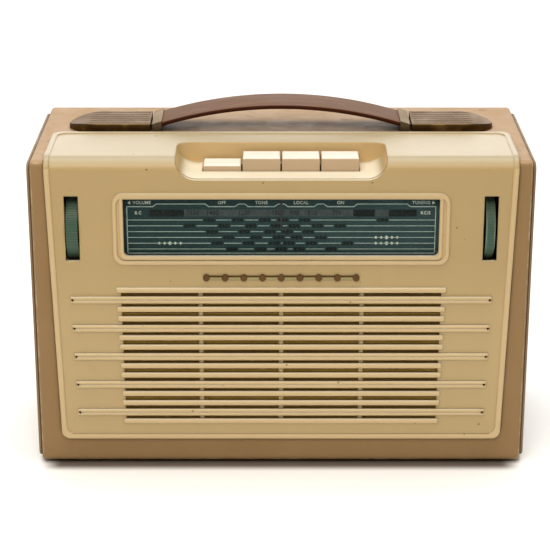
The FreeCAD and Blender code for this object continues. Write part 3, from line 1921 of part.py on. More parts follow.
def strap_outline(start, end):
    """A stretch of the arched strap seen from the front, from start to end along X."""
    centre = "(strap_top - strap_radius)"
    inner = "(strap_radius - strap_thick)"

    def upper(x):
        return f"({centre} + sqrt(strap_radius ^ 2 - ({x}) ^ 2))"

    def lower(x):
        return f"({centre} + sqrt({inner} ^ 2 - ({x}) ^ 2))"

    return [
        (start, lower(start), inner, -1),
        (end, lower(end)),
        (end, upper(end), "strap_radius", 1),
        (start, upper(start)),
    ]


def make_strap():
    near = "strap_y - strap_half_width"
    wide = "2 * strap_half_width"
    inner_end = "(strap_middle + strap_gap)"
    stretches = {
        "strap_left": ("-ferrule_inner", f"-{inner_end}"),
        "strap_middle": ("-strap_middle", "strap_middle"),
        "strap_right": (inner_end, "ferrule_inner"),
    }
    for node, (start, end) in stretches.items():
        finish(prism(node, "y", strap_outline(start, end), near, wide), node)


def make_ferrule(node, side):
    """The metal clip on the strap's end, with a tongue and a cross-bar that slides inside the end cap."""
    outline = [
        ("ferrule_inner", "ferrule_low + 1.6"),
        ("ferrule_inner + 1.6", "ferrule_low"),
        ("ferrule_outer - 1.2", "ferrule_low"),
        ("ferrule_outer", "ferrule_low + 1"),
        ("ferrule_outer", "ferrule_top_outer"),
        ("ferrule_inner", "ferrule_top_inner"),
    ]
    if side < 0:
        outline = [(f"-({x})", z) for x, z in reversed(outline)]
    barrel_half = "(strap_half_width + ferrule_margin)"
    barrel = prism(node + "_barrel", "y", outline, f"strap_y - {barrel_half}", f"2 * {barrel_half}")

    def across(low, high):
        return (low, high) if side > 0 else (f"-({high})", f"-({low})")

    tongue = box(
        node + "_tongue",
        across("ferrule_outer - 0.5", "tee_inner + 0.5"),
        ("strap_y - tongue_half", "strap_y + tongue_half"),
        ("tongue_low", "tongue_high"),
    )
    tee = box(
        node + "_tee",
        across("tee_inner", "tee_outer"),
        ("strap_y - tee_half", "strap_y + tee_half"),
        ("tee_low", "tee_high"),
    )
    finish(fuse(node, [barrel, tongue, tee]), node)


# ---------------------------------------------------------------- build and export


def build_all():
    make_cabinet_shell()
    make_leathercloth()
    make_end_panel("end_panel_left", "-body_half - panel_proud")
    make_end_panel("end_panel_right", "body_half")
    make_baffle_board()
    make_feet()
    make_rear_cover()
    make_front_moulding()
    make_name_bar()
    make_grille_cloth()
    make_dial_glass()
    make_dial_scale()
    for node, place in KEYS.items():
        make_key(node, place)
    make_key_frame()
    make_interlock_rocker()
    make_key_spring("tone_spring", KEYS["key_tone"])
    make_key_spring("local_spring", KEYS["key_local"])
    make_wheels()
    make_cord_drum()
    make_volume_pot()
    make_dial_chassis()
    make_cord_guides()
    make_drive_cord()
    make_pointer()
    make_gang()
    make_loudspeaker()
    make_circuit_board()
    make_components()
    make_aerial()
    make_battery()
    make_end_cap("handle_cap_left", -1)
    make_end_cap("handle_cap_right", 1)
    make_strap()
    make_ferrule("ferrule_left", -1)
    make_ferrule("ferrule_right", 1)
    doc.recompute()


def check_all():
    """Stops if any object failed to recompute or any sub-part's shape is not a valid solid."""
    for obj in doc.Objects:
        if "Invalid" in obj.State or "Error" in obj.State:
            raise RuntimeError(f"{obj.Label} is {obj.State}")
    for part in SUBPARTS:
        shape = part.Shape
        if shape.isNull() or not shape.isValid() or not shape.Solids:
            raise RuntimeError(f"{part.Label} is not a valid solid")


def export_all():
    os.makedirs("parts", exist_ok=True)
    for part in SUBPARTS:
        part.Shape.exportStep(f"parts/{part.Label}.step")
    bounds = Part.makeCompound([part.Shape for part in SUBPARTS]).BoundBox
    print(f"{len(SUBPARTS)} sub-parts, {bounds}")


build_all()
check_all()
export_all()
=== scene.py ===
"""The looks of a leathercloth-covered portable radio: camera, light, finishes, dial, springs and strap.

Everything is in metres in the frame's own axes: +X the listener's right, -Y the front, +Z up.
"""
import json
import math

import bpy
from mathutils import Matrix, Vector


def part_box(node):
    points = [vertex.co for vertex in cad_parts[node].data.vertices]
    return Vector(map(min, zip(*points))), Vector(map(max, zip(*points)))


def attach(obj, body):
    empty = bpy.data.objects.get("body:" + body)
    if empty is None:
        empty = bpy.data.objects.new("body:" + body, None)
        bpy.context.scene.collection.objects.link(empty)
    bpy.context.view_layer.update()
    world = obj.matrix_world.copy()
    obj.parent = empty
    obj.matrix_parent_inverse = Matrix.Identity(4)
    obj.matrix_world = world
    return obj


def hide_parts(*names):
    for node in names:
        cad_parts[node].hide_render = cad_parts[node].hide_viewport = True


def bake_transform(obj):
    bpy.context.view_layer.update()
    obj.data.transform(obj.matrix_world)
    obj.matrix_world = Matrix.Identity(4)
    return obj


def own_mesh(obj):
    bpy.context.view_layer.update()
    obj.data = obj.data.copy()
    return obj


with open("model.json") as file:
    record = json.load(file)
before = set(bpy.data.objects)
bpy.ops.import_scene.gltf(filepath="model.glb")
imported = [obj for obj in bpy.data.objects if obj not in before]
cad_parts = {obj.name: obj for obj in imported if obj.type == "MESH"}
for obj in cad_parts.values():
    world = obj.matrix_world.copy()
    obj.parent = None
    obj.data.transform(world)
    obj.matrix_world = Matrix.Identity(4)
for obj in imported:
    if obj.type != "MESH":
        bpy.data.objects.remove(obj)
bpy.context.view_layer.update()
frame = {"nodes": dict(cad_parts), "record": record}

MM = 0.001
NODES = frame["nodes"]
NODE_SLOTS = {row["node"]: row["material_slot"] for row in frame["record"]["subparts"]}
# the louvres of the front moulding: the level of the first one and the step to the next
LOUVRE_TOP = 112.7 * MM
LOUVRE_PITCH = 5.96 * MM

# ---------------------------------------------------------------- camera, light and floor

CAMERA_PLACE = Vector((-3.6, -1082.5, 497.2)) * MM
CAMERA_DOWN = math.radians(20.14)
CAMERA_LENS = 122.8
LIGHT_TARGET = (0.0, 0.0, 0.1)
# the name, place, size, watts and colour of each soft box
LIGHTS = (
    ("overhead_box", (0.0, 0.0, 1.35), (1.5, 1.1), 20.0, (1.0, 0.99, 0.97)),
    ("back_box", (0.0, 2.2, 0.95), (3.2, 1.2), 30.0, (1.0, 0.99, 0.98)),
    ("front_key", (-0.25, -1.35, 1.4), (1.2, 0.6), 19.0, (1.0, 0.90, 0.74)),
)
WORLD_COLOUR = (1.0, 0.99, 0.98, 1.0)
WORLD_STRENGTH = 0.26
FLOOR_HALF = 7.0
# the painted contact shadow on the floor reaches this far beside and before the set, and fades over the
# second lengths
SHADOW_BESIDE, SHADOW_BEFORE = 2.0 * MM, 11.0 * MM
SHADOW_FADE_BESIDE, SHADOW_FADE_BEFORE = 14.0 * MM, 9.0 * MM
SHADOW_BACK = 20.0 * MM
SHADOW_SHARE = 0.92


def make_camera():
    data = bpy.data.cameras.new("camera")
    data.lens = CAMERA_LENS
    data.sensor_width = 36.0
    data.clip_end = 60.0
    camera = bpy.data.objects.new("camera", data)
    camera.location = CAMERA_PLACE
    camera.rotation_euler = (math.pi / 2 - CAMERA_DOWN, 0.0, 0.0)
    bpy.context.scene.collection.objects.link(camera)
    bpy.context.scene.camera = camera


def area_light(name, place, size, watts, colour):
    """A rectangular soft box that faces the set."""
    data = bpy.data.lights.new(name, "AREA")
    data.shape = "RECTANGLE"
    data.size, data.size_y = size
    data.energy = watts
    data.color = colour
    lamp = bpy.data.objects.new(name, data)
    lamp.location = place
    lamp.rotation_euler = (Vector(LIGHT_TARGET) - Vector(place)).to_track_quat("-Z", "Y").to_euler()
    bpy.context.scene.collection.objects.link(lamp)


def make_light():
    for light in LIGHTS:
        area_light(*light)
    world = bpy.data.worlds.new("studio")
    world.use_nodes = True
    background = world.node_tree.nodes["Background"]
    background.inputs["Color"].default_value = WORLD_COLOUR
    background.inputs["Strength"].default_value = WORLD_STRENGTH
    bpy.context.scene.world = world
    bpy.context.scene.view_settings.view_transform = "Standard"


def make_floor():
    mesh = bpy.data.meshes.new("floor")
    corners = [(x * FLOOR_HALF, y * FLOOR_HALF, 0.0) for x, y in ((-1, -1), (1, -1), (1, 1), (-1, 1))]
    mesh.from_pydata(corners, [], [(0, 1, 2, 3)])
    floor = bpy.data.objects.new("floor", mesh)
    bpy.context.scene.collection.objects.link(floor)
    paint = Finish("floor_paper", roughness=0.7)
    tone = paint.noise(3.0, detail=2.0)
    paper = paint.mix(tone, (0.92, 0.92, 0.92), (0.95, 0.95, 0.95))
    # painted contact shadow, warm like a reflection of the set: the paper is darkened where the set
    # stands, and a little beyond its front edge
    low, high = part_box("leathercloth")
    x, y, _ = paint.axes()
    side, front = high.x + SHADOW_BESIDE, low.y - SHADOW_BEFORE
    across = paint.steps(paint.size(x), side, side - SHADOW_FADE_BESIDE)
    along = paint.band(y, front, front + SHADOW_FADE_BEFORE, 0.0, SHADOW_BACK)
    painted_shadow = paint.times(paint.times(across, along), SHADOW_SHARE)
    paint.colour(paint.mix(painted_shadow, paper, (0.078, 0.042, 0.018)))
    mesh.materials.append(paint.material)


# ---------------------------------------------------------------- node helpers

# the length of one wave of a wave texture whose scale is 1
WAVE_LENGTH = math.pi / 10


class Finish:
    """A material with short calls for the nodes that the finishes share."""

    def __init__(self, name, **sockets):
        self.material = bpy.data.materials.new(name)
        self.material.use_nodes = True
        self.tree = self.material.node_tree
        self.shader = self.tree.nodes["Principled BSDF"]
        for socket, setting in sockets.items():
            title = socket.replace("_", " ").title().replace("Ior", "IOR")
            self.shader.inputs[title].default_value = setting
        self.place = self.tree.nodes.new("ShaderNodeTexCoord")

    def feed(self, socket, source):
        if isinstance(source, bpy.types.NodeSocket):
            self.tree.links.new(source, socket)
        elif isinstance(source, tuple) and len(source) == 3 and socket.type == "RGBA":
            socket.default_value = (*source, 1.0)
        else:
            socket.default_value = source

    def node(self, kind, sources, **settings):
        node = self.tree.nodes.new("ShaderNode" + kind)
        for key, setting in settings.items():
            setattr(node, key, setting)
        for key, source in sources.items():
            self.feed(node.inputs[key], source)
        return node

    @property
    def position(self):
        return self.place.outputs["Object"]

    def calc(self, operation, first, second=0.0):
        return self.node("Math", {0: first, 1: second}, operation=operation).outputs[0]

    def times(self, first, second):
        return self.calc("MULTIPLY", first, second)

    def size(self, source):
        """A number without its sign."""
        return self.calc("ABSOLUTE", source)

    def axes(self, vector=None):
        parts = self.node("SeparateXYZ", {0: vector or self.position})
        return parts.outputs[0], parts.outputs[1], parts.outputs[2]

    def stretched(self, scale):
        """The position, scaled differently along each axis."""
        return self.node("Mapping", {"Vector": self.position, "Scale": scale}).outputs[0]

    def noise(self, scale, detail=3.0, rough=0.55, vector=None, warp=0.0):
        sources = {
            "Vector": vector or self.position,
            "Scale": scale,
            "Detail": detail,
            "Roughness": rough,
            "Distortion": warp,
        }
        return self.node("TexNoise", sources).outputs["Fac"]

    def cells(self, scale, feature="F1", vector=None, output="Distance"):
        sources = {"Vector": vector or self.position, "Scale": scale}
        return self.node("TexVoronoi", sources, feature=feature).outputs[output]

    def threads(self, pitch, direction, warp=0.0):
        """Even ridges across a direction, a pitch apart."""
        sources = {"Vector": self.position, "Scale": WAVE_LENGTH / pitch, "Distortion": warp}
        return self.node("TexWave", sources, bands_direction=direction).outputs["Fac"]

    def steps(self, source, low, high, start=0.0, end=1.0):
        """A smooth ramp of the source from low to high, to numbers from start to end."""
        sources = {"Value": source, "From Min": low, "From Max": high, "To Min": start, "To Max": end}
        return self.node("MapRange", sources, interpolation_type="SMOOTHSTEP").outputs[0]

    def band(self, source, start, full, fade, end):
        """One between full and fade, falling to nothing at start and at end."""
        return self.times(self.steps(source, start, full), self.steps(source, end, fade))

    def mix(self, share, first, second):
        node = self.node("Mix", {}, data_type="RGBA")
        self.feed(node.inputs["Factor"], share)
        self.feed(node.inputs[6], first)
        self.feed(node.inputs[7], second)
        return node.outputs[2]

    def facing(self):
        """The parts of the object's own normal."""
        return self.axes(self.place.outputs["Normal"])

    def edges(self):
        """1 on rounded edges, where the surface faces between two axes, and 0 on flat faces."""
        x, y, z = (self.size(part) for part in self.facing())
        largest = self.calc("MAXIMUM", self.calc("MAXIMUM", x, y), z)
        return self.steps(self.calc("SUBTRACT", 1.0, largest), 0.05, 0.28)

    def softened(self, radius):
        """A shading normal that rounds every edge by a radius."""
        return self.node("Bevel", {"Radius": radius}, samples=6).outputs[0]

    def wear_and_highlight_edges(self, softened):
        """1 at edges, where the softened normal turns away from the true one, and 0 on open faces."""
        true = self.tree.nodes.new("ShaderNodeNewGeometry").outputs["Normal"]
        match = self.node("VectorMath", {0: softened, 1: true}, operation="DOT_PRODUCT").outputs["Value"]
        return self.steps(self.calc("SUBTRACT", 1.0, match), 0.03, 0.30)

    def crevices(self, distance, low, high):
        """1 deep in corners and 0 on open faces."""
        near = self.node("AmbientOcclusion", {"Distance": distance}, samples=12)
        return self.steps(near.outputs["AO"], low, high, 1.0, 0.0)

    def colour(self, source):
        self.feed(self.shader.inputs["Base Color"], source)

    def rough(self, source, low, high):
        self.feed(self.shader.inputs["Roughness"], self.steps(source, 0.25, 0.75, low, high))

    def relief(self, *layers, base=None):
        """Bumps, each a height from 0 to 1 and its depth in metres, one over the other."""
        normal = base
        for height, depth in layers:
            bump = self.node("Bump", {"Height": height, "Distance": depth, "Strength": 1.0})
            if normal:
                self.feed(bump.inputs["Normal"], normal)
            normal = bump.outputs[0]
        self.feed(self.shader.inputs["Normal"], normal)


# ---------------------------------------------------------------- finishes

THREAD_PITCH = 0.9 * MM
WINDING_PITCH = 0.6 * MM


def leathercloth_finish():
    """Tan leathercloth: grain, slack wrinkles on top, a painted paler top, rubbed creases, grime and
    painted shade by the trim, dull ends.
    """
    warm = (1.0, 0.84, 0.66, 1.0)
    paint = Finish("leathercloth", roughness=0.6, specular_ior_level=0.3, specular_tint=warm)
    x, _, _ = paint.axes()
    sideways, _, up = paint.facing()
    # painted light: the top is paler and greyer than the front, as the light falls on it
    on_top = paint.steps(up, 0.3, 0.95)
    broad = paint.noise(14.0, detail=4.0)
    front = paint.mix(broad, (0.225, 0.136, 0.058), (0.285, 0.180, 0.083))
    faded_ink_and_lit_top = paint.mix(broad, (0.28, 0.176, 0.092), (0.37, 0.242, 0.134))
    tan = paint.mix(on_top, front, faded_ink_and_lit_top)
    mottle = paint.noise(260.0, detail=3.0, rough=0.7)
    tan = paint.mix(paint.steps(mottle, 0.55, 0.78, 0.0, 0.25), tan, (0.22, 0.125, 0.055))
    scuffs = paint.steps(paint.noise(120.0, detail=5.0, rough=0.7), 0.45, 0.62)
    pale = paint.times(paint.edges(), scuffs)
    tan = paint.mix(paint.times(pale, 0.6), tan, (0.50, 0.37, 0.25))
    marks = paint.steps(paint.noise(75.0, detail=6.0, rough=0.75), 0.58, 0.70, 0.0, 0.6)
    shoulder = paint.steps(up, 0.05, 0.4)
    tan = paint.mix(paint.times(marks, shoulder), tan, (0.10, 0.052, 0.025))

    # the end panels are duller, with a dark gap against the body and a rubbed crease beside it
    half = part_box("leathercloth")[1].x
    off = paint.size(x)
    level = paint.calc("SUBTRACT", 1.0, paint.steps(paint.size(sideways), 0.5, 0.9))
    crease = paint.times(paint.steps(off, half - 1.3 * MM, half - 0.6 * MM), level)
    crease = paint.times(crease, paint.steps(scuffs, 0.0, 1.0, 0.35, 0.9))
    tan = paint.mix(crease, tan, (0.46, 0.34, 0.21))
    panel = paint.steps(off, half, half + 0.05 * MM)
    tan = paint.mix(panel, tan, paint.mix(broad, (0.190, 0.130, 0.070), (0.255, 0.180, 0.102)))
    gap = paint.times(panel, paint.steps(off, half + 0.85 * MM, half + 0.6 * MM))
    tan = paint.mix(gap, tan, (0.060, 0.020, 0.008))

    # painted shade and grime: the cloth darkens in patches in the corners by the trim
    patches = paint.steps(paint.noise(45.0), 0.3, 0.7, 0.45, 1.0)
    corner_darkening = paint.times(paint.crevices(3.0 * MM, 0.5, 0.85), patches)
    paint.colour(paint.mix(corner_darkening, tan, (0.075, 0.036, 0.013)))
    grain = paint.cells(1500.0, "SMOOTH_F1")
    wrinkles = paint.noise(70.0, detail=5.0, rough=0.65, warp=0.6)
    slack = paint.times(wrinkles, paint.steps(up, 0.2, 0.9, 0.35, 1.0))
    paint.rough(wrinkles, 0.5, 0.7)
    paint.relief((slack, 0.6 * MM), (grain, 0.12 * MM), base=paint.softened(0.5 * MM))
    return paint.material


def plywood_finish():
    """Bare birch plywood inside; the rim at the back, which the cloth turns over, is tan."""
    paint = Finish("plywood", roughness=0.65)
    grain = paint.noise(60.0, detail=6.0, vector=paint.stretched((0.12, 1.0, 1.0)), warp=0.4)
    wood = paint.mix(paint.steps(grain, 0.35, 0.65), (0.50, 0.33, 0.18), (0.68, 0.50, 0.31))
    _, y, _ = paint.axes()
    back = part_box("cabinet_shell")[1].y
    rim = paint.steps(y, back - 6.0 * MM, back - 5.5 * MM)
    paint.colour(paint.mix(rim, wood, (0.47, 0.28, 0.13)))
    paint.relief((grain, 0.2 * MM))
    return paint.material


# parts of the front moulding that its finish follows
LIP_RISE = 1.44 * MM
BEZEL_HALF = 94.8 * MM
BEZEL_LOW, BEZEL_HIGH = 130.6 * MM, 169.6 * MM
BAR_FRONT, BAR_BACK = -56.0 * MM, -50.0 * MM
GRILLE_HALF = 112.0 * MM
RECESS_FRONT = -56.0 * MM
RECESS_SILL = 178.5 * MM


def cream_finish():
    """Aged cream styrene: a painted paler top, blotches, specks, brown dust and painted shade on ledges,
    and pale edges, partly rubbed and partly painted highlight.
    """
    paint = Finish("cream_moulding", roughness=0.34, specular_ior_level=0.4)
    x, y, z = paint.axes()
    off = paint.size(x)
    sideways, _, up = paint.facing()
    broad = paint.noise(9.0, detail=4.0, rough=0.6)
    front = paint.mix(broad, (0.365, 0.255, 0.108), (0.430, 0.308, 0.138))
    # painted light: the top is paler and greyer than the front, as the light falls on it
    faded_ink_and_lit_top = paint.mix(broad, (0.335, 0.270, 0.160), (0.380, 0.312, 0.198))
    # painted light: the lower face is paler, as the bounce from the floor lights it
    floor_bounce_light = paint.steps(z, 135.0 * MM, 85.0 * MM, 0.0, 0.6)
    front = paint.mix(floor_bounce_light, front, (0.455, 0.338, 0.165))
    cream = paint.mix(paint.steps(up, 0.25, 0.99), front, faded_ink_and_lit_top)
    stains = paint.steps(paint.noise(38.0, detail=6.0, rough=0.7), 0.60, 0.80, 0.0, 0.25)
    cream = paint.mix(stains, cream, (0.30, 0.185, 0.065))
    # raised parts are paler, and so is the band between the dial and its raised frame
    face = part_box("front_moulding")[0].y + LIP_RISE
    raised = paint.times(paint.steps(y, face - 0.05 * MM, face - 0.5 * MM), 0.8)
    blur = 0.1 * MM
    framed = paint.times(
        paint.steps(off, BEZEL_HALF + blur, BEZEL_HALF - blur),
        paint.band(z, BEZEL_LOW - blur, BEZEL_LOW + blur, BEZEL_HIGH - blur, BEZEL_HIGH + blur),
    )
    raised = paint.calc("MAXIMUM", raised, paint.times(framed, 0.75))
    cream = paint.mix(raised, cream, paint.mix(broad, (0.52, 0.380, 0.192), (0.60, 0.450, 0.245)))
    # painted highlight: the lip's inner side, which the key light doesn't reach, is painted as a warm pale
    # line
    turned = paint.steps(paint.size(sideways), 0.5, 0.8)
    lip_side_highlight = paint.times(turned, paint.steps(y, face + 0.3 * MM, face + 0.1 * MM))
    cream = paint.mix(lip_side_highlight, cream, (0.72, 0.42, 0.17))
    # painted light: the key recess is painted paler than the face against the shade of its walls, most of
    # all on its floor
    deep = paint.steps(y, RECESS_FRONT, RECESS_FRONT + 1.5 * MM)
    recess_painted_light = paint.times(deep, paint.steps(z, RECESS_SILL, RECESS_SILL + 1.0 * MM))
    recess_painted_light = paint.times(recess_painted_light, paint.steps(up, 0.6, 0.3))
    cream = paint.mix(recess_painted_light, cream, (0.54, 0.380, 0.180))
    below_crown = paint.steps(z, RECESS_SILL + 6.5 * MM, RECESS_SILL + 2.5 * MM)
    recess_floor_painted_light = paint.times(below_crown, paint.steps(up, 0.35, 0.95))
    cream = paint.mix(recess_floor_painted_light, cream, (0.60, 0.535, 0.40))
    # pale edges, partly rubbed and partly painted highlight
    softened = paint.softened(0.5 * MM)
    pale = paint.times(paint.wear_and_highlight_edges(softened), 0.5)
    cream = paint.mix(pale, cream, (0.66, 0.54, 0.35))

    # dust lies in every corner; the ledges of the louvres are painted dark for dust and the shade of the
    # bar above, and their undersides get painted shade
    dusty = paint.steps(paint.noise(30.0, detail=4.0), 0.35, 0.6, 0.1, 0.5)
    dust = paint.times(paint.crevices(2.0 * MM, 0.1, 0.7), dusty)
    cream = paint.mix(dust, cream, (0.26, 0.130, 0.026))
    grille_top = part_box("grille_cloth")[1].z + 2.0 * MM
    in_grille = paint.steps(z, grille_top, grille_top - MM)
    ledge_dust_and_shade = paint.times(paint.steps(up, 0.90, 0.97), in_grille)
    ledge_dust_and_shade = paint.times(ledge_dust_and_shade, paint.steps(y, BAR_BACK, BAR_FRONT))
    cream = paint.mix(paint.times(ledge_dust_and_shade, 0.95), cream, (0.13, 0.072, 0.012))
    underside_shade = paint.times(paint.steps(up, -0.80, -0.95), in_grille)
    cream = paint.mix(paint.times(underside_shade, 0.85), cream, (0.060, 0.026, 0.006))
    # painted shade: the blind fin holes are painted near black inside
    beyond = paint.times(paint.steps(off, GRILLE_HALF, GRILLE_HALF + MM), in_grille)
    fin_hole_shade = paint.times(beyond, paint.steps(y, face + 0.15 * MM, face + 0.4 * MM))
    cream = paint.mix(fin_hole_shade, cream, (0.020, 0.011, 0.005))
    specks = paint.steps(paint.cells(95.0), 0.075, 0.040, 0.0, 0.75)
    sparse = paint.steps(paint.noise(22.0, detail=1.0), 0.47, 0.53)
    paint.colour(paint.mix(paint.times(specks, sparse), cream, (0.09, 0.055, 0.028)))
    scratches = paint.noise(500.0, detail=2.0, vector=paint.stretched((0.08, 1.0, 1.0)))
    paint.rough(broad, 0.34, 0.46)
    paint.relief((broad, 0.6 * MM), (scratches, 0.03 * MM), base=paint.softened(1.5 * MM))
    return paint.material


def key_finish():
    """Ivory plastic, with painted light making the tops whiter than the fronts, and brown in the corners.
    """
    paint = Finish("ivory_keys", roughness=0.35)
    _, _, up = paint.facing()
    broad = paint.noise(40.0, detail=3.0)
    front = paint.mix(broad, (0.46, 0.340, 0.220), (0.52, 0.395, 0.262))
    lit_key_tops = paint.mix(broad, (0.64, 0.60, 0.52), (0.68, 0.645, 0.57))
    ivory = paint.mix(paint.steps(up, 0.2, 0.9), front, lit_key_tops)
    corner_darkening = paint.times(paint.crevices(2.0 * MM, 0.1, 0.6), paint.steps(up, 0.6, 0.2, 0.0, 0.5))
    paint.colour(paint.mix(corner_darkening, ivory, (0.26, 0.16, 0.075)))
    paint.rough(broad, 0.3, 0.42)
    paint.relief((paint.noise(180.0), 0.02 * MM), base=paint.softened(0.8 * MM))
    return paint.material


def wheel_finish():
    """Grey-green plastic: painted shade on the sides, dim grooves and a painted highlight on the rims."""
    paint = Finish("green_wheel", roughness=0.42, specular_ior_level=0.35)
    _, y, z = paint.axes()
    sideways, _, _ = paint.facing()
    low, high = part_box("tuning_wheel")
    centre_y, centre_z = (low.y + high.y) / 2, (low.z + high.z) / 2
    reach = (high.z - low.z) / 2
    across = paint.calc("SUBTRACT", y, centre_y)
    up = paint.calc("SUBTRACT", z, centre_z)
    squares = paint.calc("ADD", paint.times(across, across), paint.times(up, up))
    crest = paint.steps(paint.calc("SQRT", squares), reach - 0.35 * MM, reach - 0.02 * MM)
    wear = paint.noise(160.0, detail=3.0)
    green = paint.mix(crest, (0.022, 0.048, 0.030), (0.055, 0.110, 0.070))
    green = paint.mix(paint.steps(wear, 0.55, 0.8, 0.0, 0.35), green, (0.095, 0.155, 0.110))
    # painted highlight where the rims' bevels catch the light
    turned = paint.size(sideways)
    rim = paint.times(paint.steps(turned, 0.35, 0.6), paint.steps(turned, 0.95, 0.8))
    green = paint.mix(paint.times(rim, 0.7), green, (0.19, 0.27, 0.215))
    # painted shade: the sides, which face into the dark gap of the slot, are painted near black
    paint.colour(paint.mix(paint.steps(turned, 0.9, 0.97), green, (0.008, 0.014, 0.011)))
    paint.rough(wear, 0.3, 0.5)
    paint.relief((wear, 0.08 * MM))
    return paint.material


def rubber_finish():
    paint = Finish("black_rubber", roughness=0.8)
    dust = paint.noise(300.0, detail=4.0)
    paint.colour(paint.mix(dust, (0.012, 0.012, 0.012), (0.05, 0.047, 0.043)))
    paint.relief((dust, 0.1 * MM))
    return paint.material


def grille_finish():
    """Gold-brown woven cloth, darkest where the bars shade it."""
    paint = Finish("grille_fabric", roughness=0.85)
    weave = paint.times(paint.threads(THREAD_PITCH, "X", 0.4), paint.threads(THREAD_PITCH, "Z", 0.4))
    gold = paint.mix(weave, (0.68, 0.39, 0.055), (0.92, 0.68, 0.130))
    aged = paint.noise(25.0, detail=4.0)
    gold = paint.mix(paint.steps(aged, 0.4, 0.7, 0.0, 0.4), gold, (0.40, 0.20, 0.030))
    _, _, z = paint.axes()
    rows = paint.calc("DIVIDE", paint.calc("SUBTRACT", LOUVRE_TOP, z), LOUVRE_PITCH)
    lit = paint.steps(paint.calc("FRACT", rows), 0.50, 0.60)
    paint.colour(paint.mix(lit, (0.080, 0.028, 0.008), gold))
    paint.relief((weave, 0.3 * MM))
    return paint.material


def window_finish():
    """A clear acrylic pane: see-through, with its own faint haze and a gloss that grows at a glance."""
    paint = Finish("dial_window", roughness=0.06, base_color=(0.80, 0.86, 0.84, 1.0))
    smears = paint.noise(30.0, detail=4.0)
    paint.rough(smears, 0.04, 0.16)
    clear = paint.tree.nodes.new("ShaderNodeBsdfTransparent")
    glance = paint.node("LayerWeight", {"Blend": 0.06}).outputs["Fresnel"]
    share = paint.calc("MINIMUM", glance, 0.25)
    pane = paint.node("MixShader", {0: share})
    paint.feed(pane.inputs[1], clear.outputs[0])
    paint.feed(pane.inputs[2], paint.shader.outputs[0])
    out = paint.tree.nodes["Material Output"]
    paint.feed(out.inputs["Surface"], pane.outputs[0])
    return paint.material


def dial_ground_finish():
    """The dark teal ground of the dial, a little paler to the right."""
    paint = Finish("dial_print", roughness=0.6, specular_ior_level=0.1)
    x, _, _ = paint.axes()
    side = paint.steps(x, -90.0 * MM, 90.0 * MM)
    teal = paint.mix(side, (0.013, 0.033, 0.034), (0.024, 0.050, 0.053))
    fade = paint.noise(30.0, detail=3.0)
    paint.colour(paint.mix(paint.steps(fade, 0.4, 0.7, 0.0, 0.4), teal, (0.012, 0.027, 0.026)))
    paint.relief((paint.noise(900.0), 0.02 * MM))
    return paint.material


def ink_finish(name, tone, faded_ink_and_lit_top):
    """A printed ink that fades in fine patches."""
    paint = Finish(name, roughness=0.6, specular_ior_level=0.15)
    wear = paint.noise(350.0, detail=4.0)
    paint.colour(paint.mix(paint.steps(wear, 0.45, 0.7), tone, faded_ink_and_lit_top))
    return paint.material


# the end caps are rubbed from here in to the strap
STREAKS_FROM = 118.0 * MM


def brass_finish():
    """Aged brass: grey-brown on top, dark lacquer on the sides and in the grooves, streaks by the strap.

    The name bar is bronze, with darker beads and a dark upper line.
    """
    paint = Finish("brass", metallic=1.0, roughness=0.42, specular_tint=(0.86, 0.76, 0.66, 1.0))
    x, y, z = paint.axes()
    _, forward, _ = paint.facing()
    off = paint.size(x)
    patches = paint.noise(60.0, detail=4.0)
    streaks = paint.noise(220.0, detail=5.0, vector=paint.stretched((0.10, 1.0, 1.0)), rough=0.7)
    cap_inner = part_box("handle_cap_right")[0].x
    top = paint.mix(patches, (0.088, 0.062, 0.045), (0.132, 0.096, 0.072))
    rubbed = paint.times(paint.steps(streaks, 0.54, 0.68), paint.steps(off, STREAKS_FROM, cap_inner))
    top = paint.mix(rubbed, top, (0.25, 0.205, 0.15))
    side = paint.mix(paint.steps(patches, 0.45, 0.7), (0.085, 0.050, 0.018), (0.210, 0.128, 0.045))
    aged = paint.mix(paint.steps(forward, -0.35, -0.8), top, side)
    clip = paint.steps(off, cap_inner - 0.3 * MM, cap_inner - 0.8 * MM)
    aged = paint.mix(clip, aged, paint.mix(patches, (0.120, 0.092, 0.060), (0.190, 0.155, 0.108)))

    low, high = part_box("name_bar")
    middle = (low.z + high.z) / 2
    upper = paint.steps(z, middle + 0.2 * MM, middle + 0.6 * MM)
    bar = paint.mix(upper, (0.30, 0.26, 0.12), (0.055, 0.028, 0.010))
    bead = paint.steps(y, low.y + 0.35 * MM, low.y + 0.15 * MM)
    bar = paint.mix(bead, bar, (0.115, 0.062, 0.026))
    aged = paint.mix(paint.steps(z, high.z + 8.0 * MM, high.z + 5.0 * MM), aged, bar)

    # pale edges: partly rubbed brass and partly a painted highlight line
    softened = paint.softened(0.4 * MM)
    brass_edge_highlight = paint.times(paint.wear_and_highlight_edges(softened), 0.35)
    aged = paint.mix(brass_edge_highlight, aged, (0.30, 0.23, 0.14))
    tarnish = paint.times(paint.crevices(1.2 * MM, 0.3, 0.9), 0.8)
    paint.colour(paint.mix(tarnish, aged, (0.030, 0.016, 0.006)))
    paint.rough(patches, 0.34, 0.5)
    paint.relief((streaks, 0.06 * MM), base=softened)
    return paint.material


ZINC_TONES = ((0.42, 0.41, 0.36), (0.60, 0.59, 0.52))
ALUMINIUM_TONES = ((0.62, 0.62, 0.62), (0.78, 0.78, 0.78))
BRUSHED = (0.1, 1.0, 1.0)


def metal_finish(name, tones, roughness, fineness, stretch):
    """A plain metal whose tone is mottled, or brushed along X where the stretch is uneven."""
    paint = Finish(name, metallic=1.0, roughness=roughness)
    tone = paint.noise(fineness, detail=4.0, vector=paint.stretched(stretch))
    paint.colour(paint.mix(tone, *tones))
    paint.rough(tone, roughness - 0.08, roughness + 0.1)
    paint.relief((tone, 0.03 * MM))
    return paint.material


